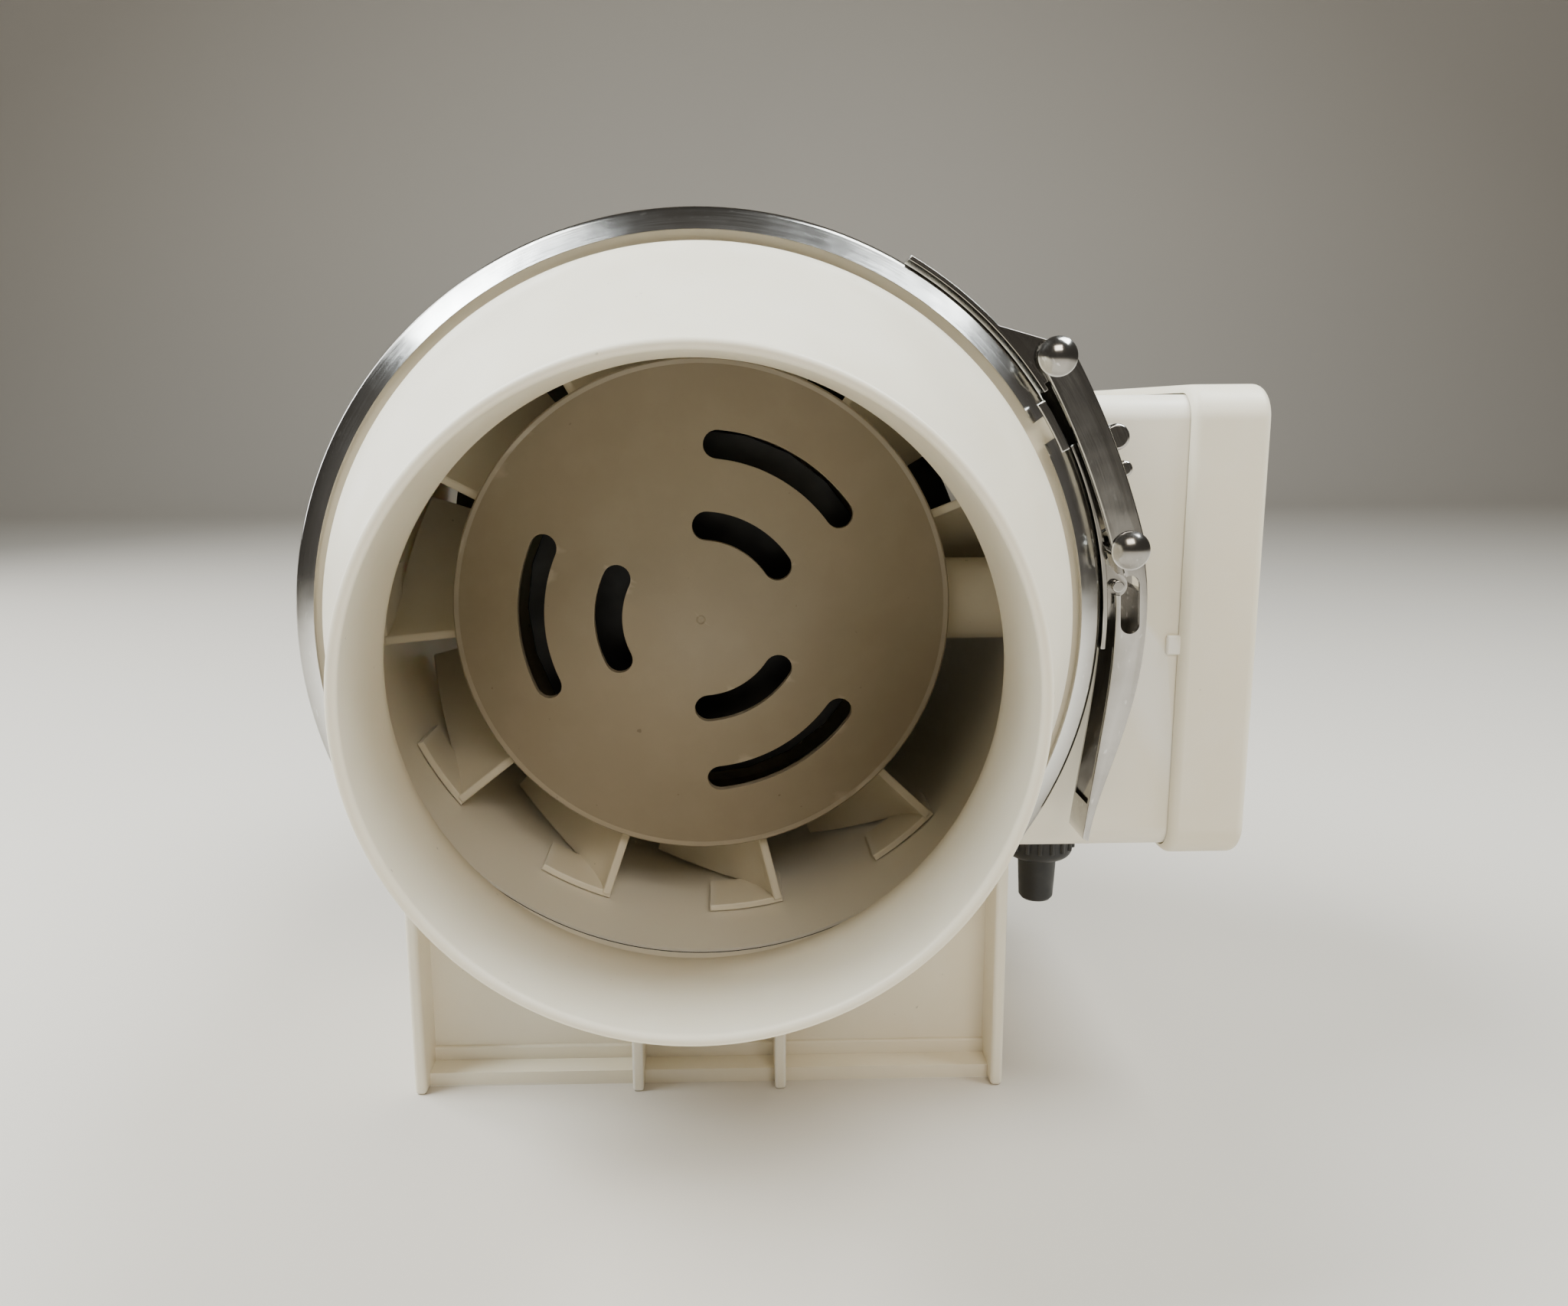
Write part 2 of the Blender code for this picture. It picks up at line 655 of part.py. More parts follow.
def build_motor():
    back = HUB_BACK_Y - 2 * HUB_WALL - FIT
    front = back - MOTOR_LENGTH
    split = back - MOTOR_LENGTH / 3
    wall = MOTOR_WALL
    seat = BEARING_R + FIT
    boss = seat + wall
    middle = (front + back) / 2
    shell = [(boss, front - wall), (boss, front), (MOTOR_R, front), (MOTOR_R, split)]
    shell += [(MOTOR_R - wall, split), (MOTOR_R - wall, front + wall), (boss, front + wall)]
    shell += [(boss, front + BEARING_WIDTH), (seat, front + BEARING_WIDTH), (seat, front - wall)]
    turned("motor_shell", shell, "zinc_steel", STEPS_MEDIUM)
    shield = [(MOTOR_R, split + FIT), (MOTOR_R, back), (seat, back), (seat, back - BEARING_WIDTH)]
    shield += [(boss, back - BEARING_WIDTH), (boss, back - wall), (MOTOR_R - wall, back - wall)]
    shield += [(MOTOR_R - wall, split + FIT)]
    end_shield = turned("motor_end_shield", shield, "zinc_steel", STEPS_MEDIUM)
    for number, (x, z) in enumerate(motor_screws(), 1):
        hole = rod(f"shield_hole_{number}", SCREW_R + FIT, back - 2 * wall, back + MM, x=x, z=z)
        cut(end_shield, hole)
        tip = back - 1.5 * wall
        head = HUB_BACK_Y + FIT
        profile = [(0, tip), (SCREW_R, tip), (SCREW_R, head), (SCREW_HEAD_R, head)]
        profile += [(SCREW_HEAD_R, head + SCREW_HEAD_HEIGHT), (0, head + SCREW_HEAD_HEIGHT)]
        turned(f"motor_screw_{number}", profile, "zinc_steel", STEPS_SMALL, False, (x, 0, z))
    half = STATOR_LENGTH / 2
    stator = [(MOTOR_R - wall - FIT, middle - half), (MOTOR_R - wall - FIT, middle + half)]
    stator += [(STATOR_BORE_R, middle + half), (STATOR_BORE_R, middle - half)]
    turned("stator_core", stator, "lamination_steel", STEPS_MEDIUM)
    wound = (STATOR_R + STATOR_BORE_R) / 2
    for name, face, way in (("winding_outlet_end", middle - half, -1), ("winding_inlet_end", middle + half, 1)):
        near, far = face + way * FIT, face + way * (FIT + WINDING_LENGTH)
        low, high = min(near, far), max(near, far)
        w = WINDING_WIDTH / 2
        ring = [(wound + w * 0.6, low), (wound + w, low + MM), (wound + w, high - MM), (wound + w * 0.6, high)]
        ring += [(wound - w * 0.6, high), (wound - w, high - MM), (wound - w, low + MM), (wound - w * 0.6, low)]
        turned(name, ring, "copper_winding", STEPS_MEDIUM)
    rotor_r = STATOR_BORE_R - AIR_GAP
    rotor = [(rotor_r, middle - half), (rotor_r, middle + half)]
    rotor += [(SHAFT_R + FIT, middle + half), (SHAFT_R + FIT, middle - half)]
    turned("rotor_core", rotor, "lamination_steel", STEPS_MEDIUM)
    for name, low in (("bearing_outlet", front), ("bearing_inlet", back - BEARING_WIDTH)):
        high = low + BEARING_WIDTH
        race = [(BEARING_R, low), (BEARING_R, high), (SHAFT_R + FIT, high), (SHAFT_R + FIT, low)]
        turned(name, race, "zinc_steel", STEPS_MEDIUM)
    rod("shaft", SHAFT_R, front - wall, impeller_back() + NUT_HEIGHT + 3 * MM, "zinc_steel", 24, bevel=0.5 * MM)


def impeller_front():
    return HUB_BACK_Y + IMPELLER_STANDOFF + SCREW_HEAD_HEIGHT


def impeller_back():
    return impeller_front() + IMPELLER_LENGTH


def impeller_hub_r(share):
    """The hub cone's outer radius from its wide end (0, behind the vanes) to its nose (1)."""
    turn = math.radians(NOSE_TURN)
    return HUB_R - (HUB_R - IMPELLER_NOSE_R) * (1 - math.cos(turn * share)) / (1 - math.cos(turn))


def build_impeller():
    front, back = impeller_front(), impeller_back()
    shares = [i / 4 for i in range(5)]
    outer = [(impeller_hub_r(s), front + IMPELLER_LENGTH * s) for s in shares]
    bore = SHAFT_R + FIT
    sleeve = bore + IMPELLER_WALL
    inner = [(impeller_hub_r(s) - IMPELLER_WALL, front + IMPELLER_LENGTH * s) for s in reversed(shares[:-1])]
    profile = outer + [(bore, back), (bore, front + 4 * MM), (sleeve, front + 4 * MM)]
    profile += [(sleeve, back - IMPELLER_WALL)] + [(impeller_hub_r(1) - MM, back - IMPELLER_WALL)] + inner
    impeller = turned("impeller", profile, "black_plastic", STEPS_MEDIUM)
    tip_r = CASING_BORE_R - BLADE_RUNNING_GAP
    rows, columns = 5, 3
    blades = []
    for number in range(BLADE_COUNT):
        shape = bmesh.new()
        grid = []
        for row in range(rows):
            share = BLADE_SPAN[0] + (BLADE_SPAN[1] - BLADE_SPAN[0]) * row / (rows - 1)
            y = front + IMPELLER_LENGTH * share
            angle = 360.0 * number / BLADE_COUNT + BLADE_SWEEP * share**0.85
            hub = impeller_hub_r(share) - IMPELLER_WALL / 2
            line = []
            for column in range(columns):
                radius = hub + (tip_r - hub) * column / (columns - 1)
                x, z = polar(radius, angle - BLADE_LEAN * column)
                line.append(shape.verts.new((x, y, AXIS_HEIGHT + z)))
            grid.append(line)
        for row in range(rows - 1):
            for column in range(columns - 1):
                here, after = grid[row], grid[row + 1]
                shape.faces.new((here[column], here[column + 1], after[column + 1], after[column]))
        mesh = bpy.data.meshes.new(f"blade_{number}")
        shape.to_mesh(mesh)
        shape.free()
        blade = add(f"blade_{number}", mesh)
        thick = blade.modifiers.new("thickness", "SOLIDIFY")
        thick.thickness = BLADE_THICKNESS
        thick.offset = 0
        blades.append(blade)
    join(impeller, joined_mesh("blades", blades))
    nut_ends = [(0, y, AXIS_HEIGHT) for y in (back + FIT, back + FIT + NUT_HEIGHT)]
    hex_nut("impeller_nut", NUT_R, bore, nut_ends, "zinc_steel")


# ---------------------------------------------------------------- V-band clamps


def latch_point(place):
    return polar(*place)


def band_profile(y):
    """The V of the band: a flat crown and two flanks that wedge the flanges together."""
    flat, edge = BAND_FLAT_WIDTH / 2, BAND_WIDTH / 2
    foot = BAND_R - BAND_FLANK
    outer = [(foot, y - edge), (BAND_R - MM, y - flat), (BAND_R, y - flat + MM), (BAND_R, y + flat - MM)]
    outer += [(BAND_R - MM, y + flat), (foot, y + edge)]
    t = BAND_THICKNESS
    turn = BAND_INNER_TURN
    inner = [(foot, y + edge - t), (BAND_INNER_R - turn, y + flat - t), (BAND_INNER_R, y + flat - t - turn)]
    inner += [(BAND_INNER_R, y - flat + t + turn), (BAND_INNER_R - turn, y - flat + t), (foot, y - edge + t)]
    return outer + inner


def capsule(name, start, end, half_width, y_low, y_high, finish=None, bow=0.0, count=5):
    """A bar with round ends from one (x, z) point to another, bowed outwards by a height."""
    (x0, z0), (x1, z1) = start, end
    length = math.hypot(x1 - x0, z1 - z0)
    ux, uz = (x1 - x0) / length, (z1 - z0) / length
    facing = math.degrees(math.atan2(uz, ux))

    def middle(share):
        rise = bow * 4 * share * (1 - share)
        return (x0 + ux * length * share - uz * rise, z0 + uz * length * share + ux * rise)

    shares = [i / count for i in range(1, count)]
    outline = arc(end, half_width, facing - 90, facing + 90, 5)
    outline += [(middle(s)[0] - uz * half_width, middle(s)[1] + ux * half_width) for s in reversed(shares)]
    outline += arc(start, half_width, facing + 90, facing + 270, 5)
    outline += [(middle(s)[0] + uz * half_width, middle(s)[1] - ux * half_width) for s in shares]
    return plate(name, outline, y_low, y_high, finish)


def rivet(name, place, y, half_length, finish):
    """A pin with a domed head on the outlet side and a flat head on the other."""
    x, z = latch_point(place)
    low, high = y - half_length - FIT, y + half_length + FIT
    r, h = RIVET_HEAD_R, RIVET_HEAD_HEIGHT
    profile = [(0, low - h), (r * 0.45, low - h * 0.9), (r * 0.8, low - h * 0.55), (r, low - h * 0.1), (r, low)]
    profile += [(RIVET_R, low), (RIVET_R, high), (r * 0.8, high), (r * 0.8, high + h * 0.5), (0, high + h * 0.5)]
    return turned(name, profile, finish, 12, False, (x, 0, AXIS_HEIGHT + z))


def build_clamp(end, y):
    """One clamp: the band, its latch parts and their rivets; end is outlet or inlet."""
    band = turned(f"{end}_band", band_profile(y), "stainless")
    gap_half = math.degrees(BAND_GAP / 2 / BAND_R)
    wedge = sector(CASING_R - 3 * MM, BAND_R + 2 * MM, BAND_GAP_ANGLE - gap_half, BAND_GAP_ANGLE + gap_half, 3)
    cut(band, plate(f"{end}_band_gap", wedge, y - BAND_WIDTH, y + BAND_WIDTH))

    half = LATCH_WIDTH / 2
    ear_half = LEVER_WIDTH / 2
    a, b = latch_point(PIVOT_A), latch_point(PIVOT_B)
    drill_r = RIVET_R + FIT

    # The strap on the upper end of the band, with two ears round pivot A.
    start = PIVOT_A[1] - 3.0
    strap_line = sector(STRAP_INNER_R, STRAP_R, start, STRAP_START_ANGLE, 9)
    strap = plate(f"{end}_clamp_strap", strap_line, y - ear_half, y + ear_half, "stainless")
    ear_foot = arc((0, 0), STRAP_INNER_R + FIT / 2, PIVOT_A[1] + 9, PIVOT_A[1] - 2, 4)
    ear_line = ear_foot + arc(a, LINK_HALF_WIDTH, -100 + PIVOT_A[1], 75 + PIVOT_A[1], 9)
    for number, side in enumerate((-1, 1)):
        near, far = side * ear_half, side * (ear_half - SHEET)
        low, high = y + min(near, far), y + max(near, far)
        join(strap, plate(f"{end}_ear_{number}", ear_line, low, high))
    cut(strap, plate(f"{end}_ear_hole", arc(a, drill_r, 0, 320, 9), y - half - MM, y + half + MM))

    # The tongue under the gap of the band.
    reach = 2.2 * gap_half
    front_low = y - BAND_WIDTH / 2 - FIT - BAND_THICKNESS
    tongue_line = sector(BAND_R - BAND_FLANK, BAND_R - MM, BAND_GAP_ANGLE - reach, BAND_GAP_ANGLE + reach, 5)
    plate(f"{end}_band_tongue", tongue_line, front_low, front_low + BAND_THICKNESS, "stainless")

    # The link from pivot A to pivot B: a channel with its web outside.
    bow = LINK_BOW
    link = capsule(f"{end}_clamp_link", b, a, LINK_HALF_WIDTH, y - half, y + half, "stainless", -bow)
    inset = 1.0 * MM
    outward = polar(SHEET + inset, (PIVOT_A[1] + PIVOT_B[1]) / 2)
    b_in, a_in = (b[0] - outward[0], b[1] - outward[1]), (a[0] - outward[0], a[1] - outward[1])
    room = capsule(
        f"{end}_link_room", b_in, a_in, LINK_HALF_WIDTH + inset, y - half + SHEET, y + half - SHEET, None, -bow
    )
    cut(link, room)
    for number, place in enumerate((a, b)):
        clear = plate(
            f"{end}_link_end_{number}", arc(place, LINK_HALF_WIDTH + 1.2 * MM, 0, 330, 12),
            y - half + SHEET, y + half - SHEET,
        )
        hole = plate(f"{end}_link_hole_{number}", arc(place, drill_r, 0, 320, 9), y - half - MM, y + half + MM)
        cut(link, clear, hole)

    build_lever(end, y)

    # The hook bracket on the lower end of the band, with the pin that the lever pulls on.
    pin = latch_point(HOOK_PIN)
    pin_half = LEVER_WIDTH / 2
    bracket_half = pin_half - SHEET - 2 * FIT
    bracket_line = sector(STRAP_INNER_R, STRAP_R, HOOK_PIN[1] - 9, BAND_GAP_ANGLE - 4, 8)
    bracket = plate(f"{end}_hook_bracket", bracket_line, y - bracket_half, y + bracket_half, "stainless")
    rise = arc((0, 0), STRAP_INNER_R + FIT / 2, HOOK_PIN[1] + 4, HOOK_PIN[1] - 4, 3)
    rise += arc(pin, 2 * HOOK_PIN_R, HOOK_PIN[1] - 80, HOOK_PIN[1] + 80, 6)
    join(bracket, plate(f"{end}_hook_rise", rise, y - bracket_half + FIT, y + bracket_half - FIT))
    pin_z = AXIS_HEIGHT + pin[1]
    join(bracket, rod(f"{end}_hook_pin", HOOK_PIN_R, y - pin_half, y + pin_half, None, 12, pin[0], pin_z))

    # The safety catch, a thin spring strip along the web of the link, and its rivet.
    web = (LINK_HALF_WIDTH + FIT, LINK_HALF_WIDTH + FIT + CATCH_THICKNESS)
    low_share, high_share = 0.12, 0.62
    line = []
    for offset, order in ((web[1], (0, 1)), (web[0], (1, 0))):
        for i in range(7):
            share = low_share + (high_share - low_share) * (i / 6 if order == (0, 1) else 1 - i / 6)
            line.append(link_web_point(b, a, share, bow, offset))
    plate(f"{end}_safety_catch", line, y - 2.2 * MM, y + 2.2 * MM, "stainless")

    rivet(f"{end}_rivet_a", PIVOT_A, y, half, "stainless")
    rivet(f"{end}_rivet_b", PIVOT_B, y, half, "stainless")


def link_web_point(b, a, share, bow, offset):
    """A point on the outer side of the link, at a distance from its middle line."""
    length = math.hypot(a[0] - b[0], a[1] - b[1])
    ux, uz = (a[0] - b[0]) / length, (a[1] - b[1]) / length
    rise = bow * 4 * share * (1 - share)
    along = length * share
    return (b[0] + ux * along + uz * (rise + offset), b[1] + uz * along - ux * (rise + offset))


def build_lever(end, y):
    """The lever: a channel from pivot B down along the band to a curled tip, hooked over the pin."""
    b = latch_point(PIVOT_B)
    pin = latch_point(HOOK_PIN)
    half = LEVER_WIDTH / 2
    stop = STRAP_R + 2.5 * FIT
    upper, lower = PIVOT_B[1], LEVER_TIP[1]
    count = 9
    back, front = PIVOT_B[0] + LINK_HALF_WIDTH, stop + FIT
    rise = LEVER_TIP[0] + LEVER_TIP_HALF - back + LEVER_SAG
    lift = LEVER_TIP[0] - LEVER_TIP_HALF - front
    outer, inner = [], []
    for i in range(count):
        share = i / (count - 1)
        angle = upper - 4.5 + (lower - upper + 4.5) * share
        outer.append(polar(back - LEVER_SAG * share**2 + rise * share**6, angle))
        inner.append(polar(front + lift * share**3.2, angle))
    top = arc(b, LINK_HALF_WIDTH, upper + 150, upper - 15, 8)
    outline = top + outer + list(reversed(inner))
    lever = plate(f"{end}_clamp_lever", outline, y - half, y + half, "stainless")
    web_outer = [polar(math.hypot(*p) - SHEET, math.degrees(math.atan2(p[1], p[0]))) for p in outer]
    web_inner = [polar(math.hypot(*p) - 3 * MM, math.degrees(math.atan2(p[1], p[0]))) for p in inner]
    pocket = web_outer[:-1] + list(reversed(web_inner[:-2]))
    room = plate(f"{end}_lever_room", pocket, y - half + SHEET, y + half - SHEET)
    open_top = arc(b, LINK_HALF_WIDTH + 5.6 * MM, 0, 330, 12)
    cut(lever, join(room, plate(f"{end}_lever_open_top", open_top, y - half + SHEET, y + half - SHEET)))
    cut(lever, plate(f"{end}_lever_hole", arc(b, RIVET_R + FIT, 0, 320, 9), y - half - MM, y + half + MM))
    slot_middle = polar(PIVOT_B[0] - 0.2 * MM, PIVOT_B[1] - 7.4)
    slot = stadium(slot_middle, LEVER_SLOT_LENGTH, LEVER_SLOT_WIDTH, PIVOT_B[1] - 7.4 + 90)
    cut(lever, plate(f"{end}_lever_slot", slot, y - half - MM, y - half + SHEET + MM))
    # The notch is open towards the band and upwards, so that the lever swings clear of the pin.
    reach = HOOK_PIN_R + 2 * FIT
    notch = arc(pin, reach, HOOK_PIN[1] - 100, HOOK_PIN[1] + 20, 6)
    notch += [polar(HOOK_PIN[0] + 0.6 * MM, HOOK_PIN[1] + 6), polar(BAND_R - MM, HOOK_PIN[1] + 8)]
    notch += [polar(BAND_R - MM, HOOK_PIN[1] - 0.8)]
    cut(lever, plate(f"{end}_lever_notch", notch, y - half - MM, y + half + MM))


# ---------------------------------------------------------------- foot


def build_foot():
    """A base plate, two side walls, front and back panels set in from the edges, and ribs."""
    half_x, half_y = FOOT_HALF_WIDTH, FOOT_LENGTH / 2
    top = AXIS_HEIGHT - CASING_R * FOOT_TOP_SHARE
    plate_y = half_y - FOOT_PLATE_SETBACK
    panel_y = half_y - FOOT_PANEL_SETBACK
    base_x = half_x - FOOT_WALL + FIT
    foot = box("foot", (-base_x, -plate_y, 0), (base_x, plate_y, FOOT_BASE), "ivory_plastic")
    for side in (-1, 1):
        inner, outer = side * (half_x - FOOT_WALL), side * half_x
        low, high = min(inner, outer), max(inner, outer)
        join(foot, box(f"foot_wall_{side}", (low, -half_y, 0), (high, half_y, top), bevel=0.8 * MM))
        front, back = side * panel_y, side * (panel_y - FOOT_WALL)
        near, far = min(front, back), max(front, back)
        panel_low = (-half_x + MM, near, FOOT_BASE / 2)
        join(foot, box(f"foot_panel_{side}", panel_low, (half_x - MM, far, top - MM)))
        for rib_side in (-1, 1):
            x = rib_side * FOOT_RIB_OFFSET
            rib_near, rib_far = min(side * half_y, front - side * MM), max(side * half_y, front - side * MM)
            rib_low = (x - FOOT_RIB_WIDTH / 2, rib_near, 0)
            rib_high = (x + FOOT_RIB_WIDTH / 2, rib_far, AXIS_HEIGHT - CASING_R + 6 * MM)
            join(foot, box(f"foot_rib_{side}_{rib_side}", rib_low, rib_high))
    saddle = cylinder(
        "foot_saddle", SADDLE_R, (0, -FOOT_LENGTH, AXIS_HEIGHT), (0, FOOT_LENGTH, AXIS_HEIGHT), steps=STEPS_LARGE
    )
    cut(foot, saddle)
    room_low = (CASING_R * BOX_ROOT_SHARE - FIT, -BOX_LENGTH, AXIS_HEIGHT + BOX_BOTTOM - FIT)
    cut(foot, box("foot_box_room", room_low, (BOX_OUTER_X, BOX_LENGTH, AXIS_HEIGHT)))
    lug_z = AXIS_HEIGHT - FOOT_SCREW_DROP
    for side in (-1, 1):
        x = side * FOOT_HOLE_SPACING / 2
        cut(foot, cylinder(f"foot_hole_{side}", FOOT_HOLE_R, (x, 0, -MM), (x, 0, FOOT_BASE + MM)))
    for number, (side, y) in enumerate(foot_screws(), 1):
        wall_in, wall_out = side * (half_x - 3 * FOOT_WALL), side * (half_x + MM)
        cut(foot, cylinder(f"foot_screw_hole_{number}", SCREW_R + FIT, (wall_in, y, lug_z), (wall_out, y, lug_z)))
        screw(f"foot_screw_{number}", (side * (half_x + FIT), y, lug_z), (side, 0, 0))


def screw(name, seat, outward):
    """A pan-head screw whose head rests at seat and whose shank points away from outward."""
    r, h = SCREW_HEAD_R, SCREW_HEAD_HEIGHT
    profile = [(0, -h), (r * 0.5, -h), (r * 0.85, -h * 0.8), (r, -h * 0.3), (r, 0), (SCREW_R, 0)]
    profile += [(SCREW_R, SCREW_LENGTH - MM), (SCREW_R * 0.4, SCREW_LENGTH), (0, SCREW_LENGTH)]
    made = turned(name, profile, "zinc_steel", STEPS_SMALL, closed=False)
    made.location = seat
    made.rotation_euler = Vector(outward).to_track_quat("Z", "Y").to_euler()
    across = MM
    recess = box(name + "_recess", (-across / 2, -r * 0.6, h * 0.5), (across / 2, r * 0.6, h + MM))
    crossing = box(name + "_recess_cross", (-r * 0.6, -across / 2, h * 0.5), (r * 0.6, across / 2, h + MM))
    for tool in (recess, crossing):
        tool.parent = made
    join(recess, crossing)
    cut(made, recess)
    return made


# ---------------------------------------------------------------- terminal box


def box_ring(name, x_low, x_high, grow, corner, finish=None):
    """A block with rounded long edges, over the box's outline made larger by grow."""
    half_y = BOX_LENGTH / 2 + grow
    low = (x_low, -half_y, AXIS_HEIGHT + BOX_BOTTOM - grow)
    high = (x_high, half_y, AXIS_HEIGHT + BOX_TOP + grow)
    made = box(name, low, high, finish)
    rounding = made.modifiers.new("corners", "BEVEL")
    rounding.width = corner
    rounding.segments = 3
    rounding.limit_method = "WEIGHT"
    weights = made.data.attributes.new("bevel_weight_edge", "FLOAT", "EDGE")
    for edge in made.data.edges:
        ends = [made.data.vertices[v].co for v in edge.vertices]
        weights.data[edge.index].value = 1.0 if abs(ends[0].x - ends[1].x) > FIT else 0.0
    return made


def post_places():
    """(y, z) of the posts that take the cover's screws."""
    half_y = BOX_LENGTH / 2 - POST_INSET
    return [
        (y, AXIS_HEIGHT + z)
        for y in (-half_y, half_y)
        for z in (BOX_BOTTOM + POST_INSET, BOX_TOP - POST_INSET)
    ]


def axis_cylinder(name, radius):
    reach = BOX_LENGTH
    return cylinder(name, radius, (0, -reach, AXIS_HEIGHT), (0, reach, AXIS_HEIGHT), steps=STEPS_LARGE)


def build_terminal_box():
    seam, outer = BOX_SEAM_X, BOX_OUTER_X
    root_x = CASING_R * BOX_ROOT_SHARE
    base = box_ring("terminal_box_base", root_x, seam, 0, BOX_CORNER_R, "ivory_plastic")
    cut(base, axis_cylinder("box_saddle", SADDLE_R))
    hollow = box_ring("box_hollow", root_x, seam + 2 * MM, -BOX_WALL, BOX_CORNER_R - BOX_WALL)
    cut(hollow, axis_cylinder("box_floor", SADDLE_R + BOX_WALL))
    cut(base, hollow)
    for number, (y, z) in enumerate(post_places(), 1):
        post = cylinder(f"box_post_{number}", POST_R, (root_x + 8 * MM, y, z), (seam, y, z))
        cut(post, axis_cylinder(f"post_end_{number}", SADDLE_R + BOX_WALL / 2))
        join(base, post)
        drill_x = seam - SCREW_LENGTH - MM
        drill = cylinder(f"post_hole_{number}", SCREW_R + FIT, (drill_x, y, z), (seam + MM, y, z))
        cut(base, drill)
    lead_hole = cylinder(
        "box_lead_hole", WIRE_BORE_R, (CASING_R - 2 * MM, CONDUIT_Y, AXIS_HEIGHT),
        (CASING_R + 3 * BOX_WALL, CONDUIT_Y, AXIS_HEIGHT),
    )
    gland_hole = cylinder(
        "box_gland_hole", GLAND_THREAD_R + FIT, (GLAND_X, 0, AXIS_HEIGHT + BOX_BOTTOM - MM),
        (GLAND_X, 0, AXIS_HEIGHT + BOX_BOTTOM + BOX_WALL + MM),
    )
    cut(base, lead_hole, gland_hole)

    gasket_low = seam + FIT
    gasket_high = gasket_low + BOX_GASKET
    gasket = box_ring("box_gasket", gasket_low, gasket_high, -FIT, BOX_CORNER_R - FIT, "seal_rubber")
    cut(gasket, box_ring("gasket_hole", gasket_low - MM, gasket_high + MM, -BOX_WALL, BOX_CORNER_R - BOX_WALL))

    cover_corner = BOX_CORNER_R + COVER_LIP
    cover = box_ring(
        "terminal_box_cover", seam - COVER_OVERLAP, outer, COVER_LIP + FIT, cover_corner, "ivory_plastic"
    )
    rim = cover.modifiers.new("rim", "BEVEL")
    rim.width = 1.2 * MM
    rim.segments = 2
    rim.limit_method = "ANGLE"
    seat_x = gasket_high + FIT
    cut(cover, box_ring("cover_mouth", seam - COVER_OVERLAP - MM, seat_x, FIT, BOX_CORNER_R + FIT))
    cut(cover, box_ring("cover_hollow", seat_x - MM, outer - BOX_WALL, -BOX_WALL, BOX_CORNER_R - BOX_WALL))
    for number, (y, z) in enumerate(post_places(), 1):
        sleeve = cylinder(f"cover_sleeve_{number}", POST_R, (seam + FIT, y, z), (outer - BOX_WALL / 2, y, z))
        sink = outer - SCREW_HEAD_HEIGHT - 2 * FIT
        hole = cylinder(f"cover_hole_{number}", SCREW_R + FIT, (seam - MM, y, z), (outer + MM, y, z))
        recess = cylinder(f"cover_recess_{number}", SCREW_HEAD_R + FIT, (sink, y, z), (outer + MM, y, z))
        join(cover, sleeve)
        cut(cover, hole, recess)
        cover_screw(f"cover_screw_{number}", (sink + FIT, y, z), seam - SCREW_LENGTH)


def cover_screw(name, seat, tip_x):
    """A long screw from the bottom of its recess through the cover into a post."""
    x, y, z = seat
    r, h = SCREW_HEAD_R, SCREW_HEAD_HEIGHT
    length = x - tip_x
    profile = [(0, -h), (r * 0.85, -h), (r, -h * 0.6), (r, 0), (SCREW_R, 0)]
    profile += [(SCREW_R, length - MM), (SCREW_R * 0.4, length), (0, length)]
    made = turned(name, profile, "zinc_steel", STEPS_SMALL, closed=False)
    made.location = seat
    made.rotation_euler = Vector((1, 0, 0)).to_track_quat("Z", "Y").to_euler()
    slot = box(name + "_slot", (-0.6 * MM, -r * 0.7, h * 0.5), (0.6 * MM, r * 0.7, h + MM))
    slot.parent = made
    cut(made, slot)


